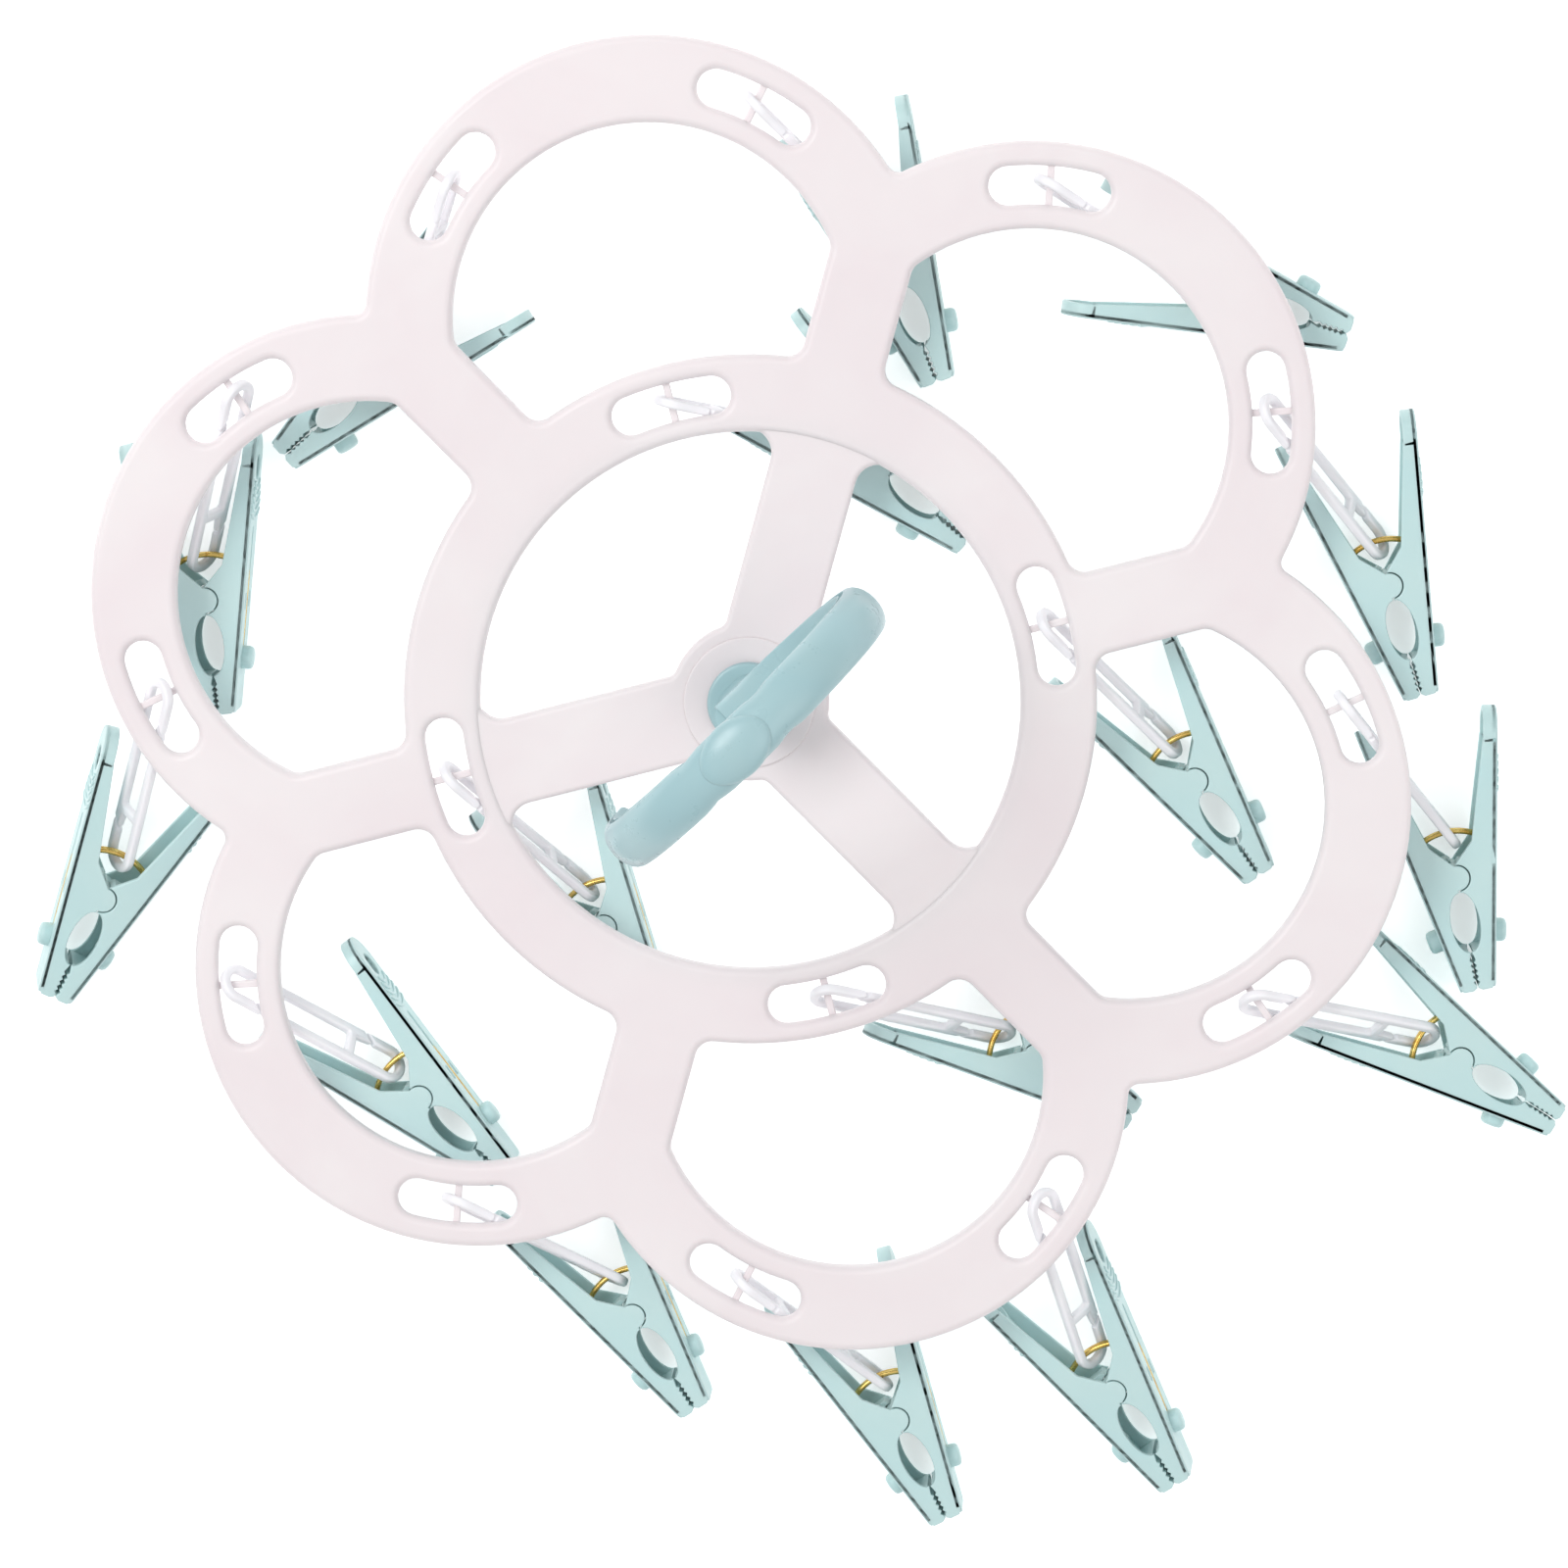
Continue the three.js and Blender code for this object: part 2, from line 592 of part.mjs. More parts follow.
// The axes of a link that has swung straight down. On the way it turns in towards the bar by
// `turnIn`, from 0 (none) to 1 (its flat side square to the bar).
function hangingLink(linkAxes, barAxis, turnIn) {
  const x = new THREE.Vector3().setFromMatrixColumn(linkAxes, 0);
  const down = new THREE.Vector3(0, 0, -1);
  const drop = new THREE.Quaternion().setFromUnitVectors(x, down);
  const plain = new THREE.Vector3().setFromMatrixColumn(linkAxes, 2).applyQuaternion(drop);
  const square = barAxis.clone().multiplyScalar(Math.sign(barAxis.dot(plain)) || 1);
  const full = Math.atan2(plain.x * square.y - plain.y * square.x, plain.dot(square));
  const z = plain.applyAxisAngle(new THREE.Vector3(0, 0, 1), full * turnIn);
  return new THREE.Matrix4().makeBasis(down, new THREE.Vector3().crossVectors(z, down), z);
}

function clipLayout(row) {
  const place = slotPlace(row);
  const [bx, by] = turned(place.heading, place.radius);
  const bar = new THREE.Vector3(place.cx + bx, place.cy + by, BAR_TOP - BAR_HEIGHT / 2);
  const barAxis = new THREE.Vector3(Math.cos(place.heading), Math.sin(place.heading), 0);
  const clipAxes = lyingClip(row.clip * DEG, row.clipRoll * DEG);
  const clipV = new THREE.Vector3().setFromMatrixColumn(clipAxes, 1);
  const drop = bar.z + TABLE_DEPTH - archHeight(clipAxes);
  let linkAxes = lying(row.link * DEG, Math.asin(drop / LINK_LENGTH), row.linkRoll * DEG);
  let barReach = 0;
  let reach = 0;
  for (let i = 0; i < 4; i += 1) {
    barReach = eyeReach(barAxis, linkAxes, BAR_WIDTH / 2);
    reach = LINK_LENGTH - barReach - eyeReach(clipV, linkAxes, WIRE);
    linkAxes = lying(row.link * DEG, Math.asin(drop / reach), row.linkRoll * DEG);
  }
  const arch = new THREE.Vector3(reach, 0, 0).applyMatrix4(linkAxes).add(bar);

  const linkHang = hangingLink(linkAxes, barAxis, row.turnIn ?? 1);
  const linkSwing = turnBetween(linkAxes, linkHang);
  const hungNormal = new THREE.Vector3().setFromMatrixColumn(linkHang, 2);
  const clipVSwung = clipV.clone().applyMatrix4(linkSwing.turn);
  const up = new THREE.Vector3(0, 0, 1);
  const v = hungNormal.clone().multiplyScalar(Math.sign(hungNormal.dot(clipVSwung)) || 1);
  const clipHang = new THREE.Matrix4().makeBasis(up, v, new THREE.Vector3().crossVectors(up, v));
  const beforeLink = linkSwing.turn.clone().transpose().multiply(clipHang);
  const clipSwing = turnBetween(clipAxes, beforeLink);

  const linkPlace = linkAxes.clone().multiply(new THREE.Matrix4().makeTranslation(-barReach, 0, 0));
  linkPlace.premultiply(new THREE.Matrix4().makeTranslation(bar));
  const clipPlace = clipAxes.clone().multiply(new THREE.Matrix4().makeTranslation(-ARCH_U, 0, 0));
  clipPlace.premultiply(new THREE.Matrix4().makeTranslation(arch));
  const pivot = new THREE.Vector3(PIVOT_U, 0, 0).applyMatrix4(clipPlace);
  const squeeze = new THREE.Vector3().setFromMatrixColumn(clipAxes, 2);
  return { bar, arch, pivot, squeeze, linkSwing, clipSwing, linkPlace, clipPlace };
}

// ---- assembly ------------------------------------------------------------------------------

const hanger = new THREE.Group();
hanger.name = 'clip_drying_hanger';
hanger.add(piece('flower_frame', flowerFrame(), white));
hanger.add(...hookParts());

const link = linkBody();
const jaw = jawBody();
const spring = springArch();
const opposite = new THREE.Matrix4().makeRotationX(Math.PI);
const joints = [{
  name: 'hook_swivel',
  parent: 'frame',
  child: 'hook',
  at: new THREE.Vector3(),
  axis: new THREE.Vector3(0, 0, 1),
}];

CLIPS.forEach((row, i) => {
  const n = String(i + 1).padStart(2, '0');
  const layout = clipLayout(row);
  const clip = new THREE.Group();
  clip.applyMatrix4(layout.clipPlace);
  clip.add(piece(`clip_${n}_jaw_a`, jaw, green));
  clip.add(piece(`clip_${n}_jaw_b`, jaw, green, opposite));
  if (row.spring) clip.add(piece(`clip_${n}_spring`, spring, wireFinish));
  hanger.add(piece(`link_${n}`, link, white, layout.linkPlace), clip);
  joints.push(
    {
      name: `link_${n}_swing`,
      parent: 'frame',
      child: `link_${n}`,
      at: layout.bar,
      ...layout.linkSwing,
    },
    {
      name: `clip_${n}_swing`,
      parent: `link_${n}`,
      child: `clip_${n}`,
      at: layout.arch,
      ...layout.clipSwing,
    },
    {
      name: `clip_${n}_squeeze`,
      parent: `clip_${n}`,
      child: `clip_${n}_moving_jaw`,
      at: layout.pivot,
      axis: layout.squeeze,
      angle: SQUEEZE_ANGLE,
    },
  );
});

// Every pivot at rest: a point, an axis and the angle it turns through, in degrees.
hanger.userData.joints = joints;

export default hanger;
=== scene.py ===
"""Clip drying hanger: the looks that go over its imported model. Run as a script in Blender 4.5."""

import json
from math import asin, atan, atan2, cos, exp, hypot, pi, radians, sin, sqrt

import bmesh
import bpy
from bpy.props import FloatProperty, FloatVectorProperty, PointerProperty
from bpy.types import Operator, Panel, PropertyGroup
from mathutils import Matrix, Quaternion, Vector


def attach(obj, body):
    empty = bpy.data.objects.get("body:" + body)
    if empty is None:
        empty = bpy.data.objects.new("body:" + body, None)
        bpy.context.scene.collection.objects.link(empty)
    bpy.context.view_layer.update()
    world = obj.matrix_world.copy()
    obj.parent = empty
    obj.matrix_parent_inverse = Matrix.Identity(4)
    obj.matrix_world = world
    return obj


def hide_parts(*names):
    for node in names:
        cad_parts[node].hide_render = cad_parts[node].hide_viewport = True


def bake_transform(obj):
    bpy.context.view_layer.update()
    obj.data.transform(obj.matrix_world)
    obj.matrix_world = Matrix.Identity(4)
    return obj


bl_info = {
    "name": "Clip Drying Hanger",
    "version": (1, 0, 0),
    "blender": (4, 5, 0),
    "location": "3D View > Sidebar > Hanger",
    "description": "Makes the frame, hook, links, clips and springs of a clip drying hanger",
    "category": "Add Mesh",
}

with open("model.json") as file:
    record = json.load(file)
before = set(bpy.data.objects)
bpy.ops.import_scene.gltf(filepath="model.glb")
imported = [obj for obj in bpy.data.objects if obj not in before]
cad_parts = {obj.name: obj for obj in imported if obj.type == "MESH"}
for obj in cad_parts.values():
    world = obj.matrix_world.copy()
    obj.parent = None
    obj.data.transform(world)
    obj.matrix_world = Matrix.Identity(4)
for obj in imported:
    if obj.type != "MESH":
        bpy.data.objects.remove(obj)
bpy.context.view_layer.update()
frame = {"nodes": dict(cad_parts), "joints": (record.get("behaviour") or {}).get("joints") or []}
JOINTS = {joint["name"]: joint for joint in frame["joints"]}

MM = 0.001
GAP = 0.3  # clearance between touching pieces, in millimetres
CLIP_COUNT = 16
CLIP_NUMBERS = [f"{n:02d}" for n in range(1, CLIP_COUNT + 1)]

# Frame, in millimetres
PETAL_COUNT = 6
PETAL_RADIUS = 70.7
PETAL_REACH = 98.4
PETAL_BAND = 21.6
WALL_HALF = 10.5
NOTCH_FILLET = 3.0
RING_RADIUS = 87.0
RING_BAND = 19.2
PETAL_CORNER = 4.5
SPOKE_COUNT = 3
SPOKE_WIDTH = 22.0
SPOKE_CORNER = 6.0
SPOKE_START = 60.0
SPOKE_DROP = 0.7  # the spokes' top below the ring's
HUB_RADIUS = 20.0
HUB_CORNER = 3.0
HUB_STEP_RADIUS = 16.5
HUB_STEP_FOOT = 2.5
HUB_BORE_RADIUS = 8.7  # the washer's recess under the hub
BOSS_INSET = 1.2
BOSS_HEIGHT = 3.0
SPOKE_LAP = 4.4  # how far the spokes' plate runs in under the ring
SPOKE_HOLE_OVERRUN = 0.8
SPOKE_EDGE_SHARE = 0.7  # the spokes' rounding as a share of the ring's
FRAME_HEIGHT = 4.5
FRAME_PLATE = 2.0
FRAME_WALL = 1.6
SLOT_LENGTH = 30.5
SLOT_WIDTH = 9.6
SLOT_SPREAD = 41.0
BAR_WIDTH = 1.8
BAR_TOP = 2.1
BAR_BOTTOM = 0.3
SLOT_MARGIN = 2.4  # around a slot, where no skirt goes down
PETAL_SLOTS = [(petal, side) for petal in range(90, -270, -60) for side in (-1, 1)]
RING_SLOTS = [90, 0, -90, 180]

# Hook, in millimetres
HOOK_HEADING = 30.0
HOOK_FOOT = 4.8  # height of the hook's base disc above the frame's lower edge
HOOK_HALF_WIDTH = 6.5
HOOK_HALF_THICKNESS = 3.4
HOOK_RADIUS = 40.5
HOOK_RISE = 22.0
HOOK_LEAN = 3.0
HOOK_TIP = 200.0
HOOK_START = -100.0
HOOK_FLANGE = 0.95
HOOK_POCKET = 3.0
TIP_ROUNDING = 4.5  # length of the free tip's rounding
TIP_NARROWING = 5.0
TIP_FLARE = 0.5
TIP_FLARE_LENGTH = 12.0
WAIST_AT = 12.0  # distance of each waist from the crown's middle
WAIST_DEPTH = 0.6
WAIST_LENGTH = 2.6
CROWN_HALF_LENGTH = 10.0
CROWN_HALF_WIDTH = 6.8
CROWN_CAMBER = 1.4
# Share of the crown pad's outline, and its height above the band, from foot to top
CROWN_PROFILE = [
    (1.0, -3.0),
    (1.0, -0.5),
    (0.97, 0.1),
    (0.9, 0.55),
    (0.75, 0.9),
    (0.5, 1.15),
    (0.12, 1.2),
]

# Link, in millimetres
LINK_LENGTH = 58.0
LINK_WIDTH = 10.4
LINK_LIMB = 2.4
LINK_THICKNESS = 2.4
LINK_WINDOW = 21.0
LINK_CROSSBAR = 2.5
LINK_MOUTH = 0.9
# Each link's roll about its own length, degrees
LINK_ROLLS = [0, 10, -10, 30, 0, -45, 50, 0, -20, 40, -45, 30, 0, 20, -40, 10]

# Clip, in millimetres: u from the tip to the handles, v out from the closing plane, w across
CLIP_LENGTH = 70.0
CLIP_HALF_WIDTH = 7.0
CLIP_TIP = 4.5
CLIP_SLOPE = 0.196
CLIP_WALL = 1.5
CONTACT_LENGTH = 10.0
THROAT_LENGTH = 15.5
THROAT_HALF = 3.5
CLOSING_GAP = 0.15
PIVOT_U = 29.3
LOBE_RADIUS = 3.2
HANDLE_START = 38.0
HANDLE_DEPTH = 6.5
HANDLE_END_DEPTH = 3.0
HANDLE_HOLE_U = 61.5
HANDLE_HOLE_RADIUS = 3.25
COLLAR_RADIUS = 4.2
RIDGE_COUNT = 5
RIDGE_START = 5.6  # first grip ridge's radius about the handle's hole
RIDGE_PITCH = 1.9
RIDGE_HALF = 0.45
TEETH_START = 1.4
TOOTH_PITCH = 1.45
BOSS_U = 13.5
# The boss as (radius, depth) from its foot to its dome
BOSS_PROFILE = [
    (0, 1.0),
    (3.0, 1.0),
    (3.0, -1.6),
    (2.85, -2.3),
    (2.4, -2.75),
    (1.6, -2.95),
    (0, -3.0),
]
WIRE_SLOT = (15.5, 46.5)  # where the wire's slot starts and ends along the outer face
ARCH_U = 40.5
ARCH_RADIUS = 14.4
ARCH_HALF = 9.2

# Viewing camera, in millimetres and degrees
VIEW_TARGET = (2.9, -22.6, 0.0)
VIEW_DISTANCE = 1500.0
VIEW_TILT = 8.4
VIEW_TILT_HEADING = 57.6
VIEW_ROLL = -14.8
VIEW_LENS = 136.98
FLOOR_Z = -27.2
FLOOR_REACH = 4.0  # metres
SKY_STRENGTH = 0.82


# ---- settings ------------------------------------------------------------------------------


def linear(hex_colour):
    """An sRGB hex colour as linear red, green and blue."""
    channels = [int(hex_colour[i : i + 2], 16) / 255 for i in (1, 3, 5)]
    return [c / 12.92 if c <= 0.04045 else ((c + 0.055) / 1.055) ** 2.4 for c in channels]


def length_prop(name, description, millimetres):
    return FloatProperty(
        name=name,
        description=description,
        default=millimetres * MM,
        min=0.0,
        subtype="DISTANCE",
        unit="LENGTH",
    )


def colour_prop(name, description, hex_colour):
    return FloatVectorProperty(
        name=name,
        description=description,
        default=linear(hex_colour),
        min=0.0,
        max=1.0,
        subtype="COLOR",
    )


class HangerSizes(PropertyGroup):
    frame_edge: length_prop("Frame edge", "Rounding along the frame's edges", 2.1)
    link_edge: length_prop("Link edge", "Rounding along the links' edges", 0.75)
    clip_edge: length_prop("Clip edge", "Rounding along the clips' edges", 0.35)
    hook_edge: length_prop("Hook edge", "Rounding along the hook's edges", 0.55)
    wire: length_prop("Wire", "Diameter of the spring wire", 1.4)
    tooth: length_prop("Tooth", "Depth of the clips' teeth", 0.55)
    ridge: length_prop("Grip ridge", "Height of the ridges on the handles", 0.4)


class HangerFinish(PropertyGroup):
    white: colour_prop("White", "Plastic of the frame", "#EAE4E5")
    link_white: colour_prop("Link white", "Plastic of the links", "#F5F4F7")
    green: colour_prop("Green", "Plastic of the hook", "#A5C3C7")
    # The clips' green is the hook's sea-green painted lighter, to offset the shade that falls on
    # the clips under the frame.
    clip_green_painted_lighter: colour_prop("Clip green", "Clip plastic, painted lighter to offset shade", "#C0DAD9")
    wire: colour_prop("Wire", "Plating on the spring wire", "#D8BE72")
    floor: colour_prop("Floor", "Surface that the hanger lies on", "#FAFAFA")


# ---- outlines ------------------------------------------------------------------------------


def arc(cx, cy, radius, start, end, steps):
    """Points of an arc between two angles in radians, both ends included."""
    angles = [start + (end - start) * i / steps for i in range(steps + 1)]
    return [(cx + radius * cos(a), cy + radius * sin(a)) for a in angles]


def circle(cx, cy, radius, steps=48):
    return arc(cx, cy, radius, 0, 2 * pi * (1 - 1 / steps), steps - 1)


def turned(points, angle, cx=0.0, cy=0.0):
    c, s = cos(angle), sin(angle)
    return [(cx + x * c - y * s, cy + x * s + y * c) for x, y in points]


def flower_outline():
    """The frame's outer edge: petals with filleted notches between them."""
    half = pi / PETAL_COUNT
    across = PETAL_REACH * sin(half)
    notch = PETAL_REACH * cos(half) + sqrt((PETAL_RADIUS + NOTCH_FILLET) ** 2 - across**2)
    nx, ny = notch * cos(half), notch * sin(half)
    to_notch = atan2(ny, nx - PETAL_REACH)
    petal = arc(PETAL_REACH, 0, PETAL_RADIUS, -to_notch, to_notch, 48)
    valley = arc(nx, ny, NOTCH_FILLET, to_notch + pi, 2 * half - to_notch + pi, 10)
    outline = []
    for k in range(PETAL_COUNT):
        outline += turned(petal + valley[1:-1], pi / 2 + 2 * pi * k / PETAL_COUNT)
    return outline


def sector_outline(half, wall, reach, near, far, near_fillet, far_fillet):
    """A hole between two walls that run out from the axis, its four corners filleted."""

    def place(run, height):
        return run * cos(half) + height * sin(half), run * sin(half) - height * cos(half)

    far_height = wall + far_fillet
    off_wall = reach * sin(half) - far_height
    far_run = reach * cos(half) + sqrt((far - far_fillet) ** 2 - off_wall**2)
    near_height = wall + near_fillet
    near_run = sqrt((near + near_fillet) ** 2 - near_height**2)
    fx, fy = place(far_run, far_height)
    nx, ny = place(near_run, near_height)
    far_angle = atan2(fy, fx - reach)
    near_angle = atan2(ny, nx)
    normal = half + pi / 2
    upper = (
        arc(reach, 0, far, 0, far_angle, 24)
        + arc(fx, fy, far_fillet, far_angle, normal, 8)[1:]
        + arc(nx, ny, near_fillet, normal, near_angle + pi, 8)
        + arc(0, 0, near, near_angle, 0, 12)[1:]
    )
    return upper + [(x, -y) for x, y in reversed(upper[1:-1])]


def petal_holes():
    outline = sector_outline(
        pi / PETAL_COUNT,
        WALL_HALF,
        PETAL_REACH,
        RING_RADIUS,
        PETAL_RADIUS - PETAL_BAND,
        PETAL_CORNER,
        PETAL_CORNER,
    )
    return [turned(outline, pi / 2 + 2 * pi * k / PETAL_COUNT) for k in range(PETAL_COUNT)]


def spoke_holes():
    outline = sector_outline(
        pi / SPOKE_COUNT,
        SPOKE_WIDTH / 2,
        0.0,
        HUB_RADIUS,
        RING_RADIUS - RING_BAND + SPOKE_HOLE_OVERRUN,
        HUB_CORNER,
        SPOKE_CORNER,
    )
    first = radians(SPOKE_START) + pi / SPOKE_COUNT
    return [turned(outline, first + 2 * pi * k / SPOKE_COUNT) for k in range(SPOKE_COUNT)]


def slot_places():
    """For each slot, the centre that it curves about, its radius there and its heading."""
    places = []
    for petal, side in PETAL_SLOTS:
        a = radians(petal)
        places.append(
            (
                PETAL_REACH * cos(a),
                PETAL_REACH * sin(a),
                PETAL_RADIUS - PETAL_BAND / 2,
                radians(petal + side * SLOT_SPREAD),
            )
        )
    for heading in RING_SLOTS:
        places.append((0.0, 0.0, RING_RADIUS - RING_BAND / 2, radians(heading)))
    return places


def slot_outline(cx, cy, radius, heading):
    end = SLOT_WIDTH / 2
    spread = (SLOT_LENGTH / 2 - end) / radius
    x, y = radius * cos(spread), radius * sin(spread)
    outline = (
        arc(0, 0, radius + end, -spread, spread, 8)
        + arc(x, y, end, spread, spread + pi, 12)[1:-1]
        + arc(0, 0, radius - end, spread, -spread, 8)
        + arc(x, -y, end, pi - spread, 2 * pi - spread, 12)[1:-1]
    )
    return turned(outline, heading, cx, cy)


def link_outline():
    half = LINK_WIDTH / 2
    inner = half - LINK_LIMB
    window_start = (LINK_LENGTH - LINK_WINDOW) / 2
    eye_end = window_start - LINK_CROSSBAR
    slant = LINK_LIMB * 1.15
    horn_tip = eye_end - 4.6
    free_end = horn_tip - LINK_MOUTH * 1.4
    hook = (
        arc(half, 0, half, pi / 2, 1.5 * pi, 24)
        + [(free_end + slant, -half), (free_end, -inner)]
        + arc(half, 0, inner, 1.5 * pi, pi / 2, 20)
        + [(eye_end, inner), (eye_end, -inner + 0.6), (horn_tip, -inner), (horn_tip + slant, -half)]
    )
    window = rounded_box(window_start, LINK_LENGTH - window_start, inner, 0.6)
    return [hook + [(LINK_LENGTH - x, -y) for x, y in hook], window]


def rounded_box(start, end, half, corner):
    """A box from start to end along x and half to each side in y, with rounded corners."""
    return (
        arc(end - corner, half - corner, corner, 0, pi / 2, 5)
        + arc(start + corner, half - corner, corner, pi / 2, pi, 5)
        + arc(start + corner, -half + corner, corner, pi, 1.5 * pi, 5)
        + arc(end - corner, -half + corner, corner, 1.5 * pi, 2 * pi, 5)
    )


# ---- meshes --------------------------------------------------------------------------------


def moulding(loops, low, high, edge, steps=2):
    """A flat moulding between two heights from closed outlines, with its edges rounded."""
    curve = bpy.data.curves.new("outline", "CURVE")
    curve.dimensions = "2D"
    curve.fill_mode = "BOTH"
    curve.extrude = ((high - low) / 2 - edge) * MM
    curve.bevel_depth = edge * MM
    curve.bevel_resolution = steps
    curve.offset = -edge * MM
    for loop in loops:
        spline = curve.splines.new("POLY")
        spline.points.add(len(loop) - 1)
        for point, (x, y) in zip(spline.points, loop):
            point.co = (x * MM, y * MM, 0.0, 1.0)
        spline.use_cyclic_u = True
    return mesh_of(curve, Matrix.Translation((0.0, 0.0, (low + high) / 2 * MM)))


def mesh_of(curve, matrix):
    holder = bpy.data.objects.new("outline", curve)
    bpy.context.scene.collection.objects.link(holder)
    depsgraph = bpy.context.evaluated_depsgraph_get()
    mesh = bpy.data.meshes.new_from_object(holder.evaluated_get(depsgraph))
    bpy.data.objects.remove(holder)
    bpy.data.curves.remove(curve)
    mesh.transform(matrix)
    return mesh


def shell(loops, height, edge, wall, stays_up):
    """A moulding's rounded upper skin with skirts down to height 0, hollow underneath.

    `stays_up` tells from a boundary point, in millimetres, that no skirt goes down there.
    """
    bm = bmesh.new()
    bm.from_mesh(moulding(loops, 0.0, height, edge, 5))
    bmesh.ops.remove_doubles(bm, verts=bm.verts, dist=1e-6)
    bmesh.ops.recalc_face_normals(bm, faces=bm.faces)
    middle = height / 2 * MM
    lower = [face for face in bm.faces if face.calc_center_median().z < middle - 1e-6]
    bmesh.ops.delete(bm, geom=lower, context="FACES")
    skirt = [
        side
        for side in bm.edges
        if side.is_boundary and not any(stays_up(v.co / MM) for v in side.verts)
    ]
    lengthened = bmesh.ops.extrude_edge_only(bm, edges=skirt)
    for part in lengthened["geom"]:
        if isinstance(part, bmesh.types.BMVert):
            part.co.z = 0.0
    mesh = bpy.data.meshes.new("skin")
    bm.to_mesh(mesh)
    bm.free()
    return with_modifier(mesh, "SOLIDIFY", thickness=wall * MM, offset=-1.0, use_even_offset=True)


def with_modifier(mesh, kind, **settings):
    """The mesh with one modifier applied."""
    holder = bpy.data.objects.new("holder", mesh)
    bpy.context.scene.collection.objects.link(holder)
    modifier = holder.modifiers.new("step", kind)
    for name, value in settings.items():
        setattr(modifier, name, value)
    depsgraph = bpy.context.evaluated_depsgraph_get()
    result = bpy.data.meshes.new_from_object(holder.evaluated_get(depsgraph))
    bpy.data.objects.remove(holder)
    bpy.data.meshes.remove(mesh)
    return result


def tube(path, diameter):
    """A round wire along a path of points in millimetres."""
    curve = bpy.data.curves.new("wire", "CURVE")
    curve.dimensions = "3D"
    curve.bevel_depth = diameter / 2
    curve.bevel_resolution = 3
    curve.use_fill_caps = True
    spline = curve.splines.new("POLY")
    spline.points.add(len(path) - 1)
    for point, (x, y, z) in zip(spline.points, path):
        point.co = (x * MM, y * MM, z * MM, 1.0)
    return mesh_of(curve, Matrix.Identity(4))


def lathed(profile, steps=64):
    """A closed round solid from (radius, height) points in millimetres, axis ends included."""
    bm = bmesh.new()
    rings = []
    for radius, height in profile:
        if radius == 0:
            rings.append([bm.verts.new((0.0, 0.0, height * MM))])
        else:
            points = circle(0, 0, radius, steps)
            rings.append([bm.verts.new((x * MM, y * MM, height * MM)) for x, y in points])
    for below, above in zip(rings, rings[1:]):
        bridge(bm, below, above)
    return finished(bm)


def bridge(bm, below, above):
    """Faces between two rings of the same count, or between a ring and one point."""
    count = max(len(below), len(above))
    for i in range(count):
        corners = [below[i % len(below)], below[(i + 1) % len(below)]]
        corners += [above[(i + 1) % len(above)], above[i % len(above)]]
        corners = list(dict.fromkeys(corners))
        bm.faces.new(corners)


def lofted(sections):
    """A closed solid through rings of points, its two ends filled."""
    bm = bmesh.new()
    rings = [[bm.verts.new(Vector(p) * MM) for p in section] for section in sections]
    for below, above in zip(rings, rings[1:]):
        bridge(bm, below, above)
    bm.faces.new(list(reversed(rings[0])))
    bm.faces.new(rings[-1])
    return finished(bm)


def finished(bm):
    bmesh.ops.recalc_face_normals(bm, faces=bm.faces)
    mesh = bpy.data.meshes.new("solid")
    bm.to_mesh(mesh)
    bm.free()
    return mesh


def merged(name, parts, smooth_angle=38.0):
    """One mesh from several, each with its matrix, shaded smooth except at creases."""
    bm = bmesh.new()
    for mesh, matrix in parts:
        placed = mesh.copy()
        placed.transform(matrix)
        if matrix.determinant() < 0:
            placed.flip_normals()
        bm.from_mesh(placed)
        bpy.data.meshes.remove(placed)
    bmesh.ops.remove_doubles(bm, verts=bm.verts, dist=1e-6)
    bmesh.ops.recalc_face_normals(bm, faces=bm.faces)
    mesh = bpy.data.meshes.new(name)
    bm.to_mesh(mesh)
    bm.free()
    for polygon in mesh.polygons:
        polygon.use_smooth = True
    mesh.set_sharp_from_angle(angle=radians(smooth_angle))
    mesh = with_modifier(mesh, "WEIGHTED_NORMAL", keep_sharp=True)
    mesh.name = name
    return mesh


def add_piece(name, mesh, material, body, replaces=(), matrix=None):
    piece = bpy.data.objects.new(name, mesh)
    bpy.context.scene.collection.objects.link(piece)
    if not mesh.materials:
        mesh.materials.append(material)
    if matrix is not None:
        piece.matrix_world = matrix
    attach(piece, body)
    if replaces:
        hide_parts(*replaces)
    return piece


IDENTITY = Matrix.Identity(4)


# ---- materials -----------------------------------------------------------------------------


def add_node(tree, kind, settings=None, values=None, links=None):
    """Adds a node with its settings, its input values and the sockets that feed it."""
    node = tree.nodes.new(kind)
    for name, value in (settings or {}).items():
        setattr(node, name, value)
    for name, value in (values or {}).items():
        node.inputs[name].default_value = value
    for name, socket in (links or {}).items():
        tree.links.new(socket, node.inputs[name])
    return node


def empty_material(name):
    material = bpy.data.materials.new(name)
    material.use_nodes = True
    material.node_tree.nodes.clear()
    return material, material.node_tree


def tint(colour, factor):
    return [min(1.0, c * factor) for c in colour] + [1.0]


def ramp(tree, source, low, high, colours):
    node = add_node(tree, "ShaderNodeValToRGB", links={"Fac": source})
    for element, position, colour in zip(node.color_ramp.elements, (low, high), colours):
        element.position = position
        element.color = colour
    return node.outputs["Color"]


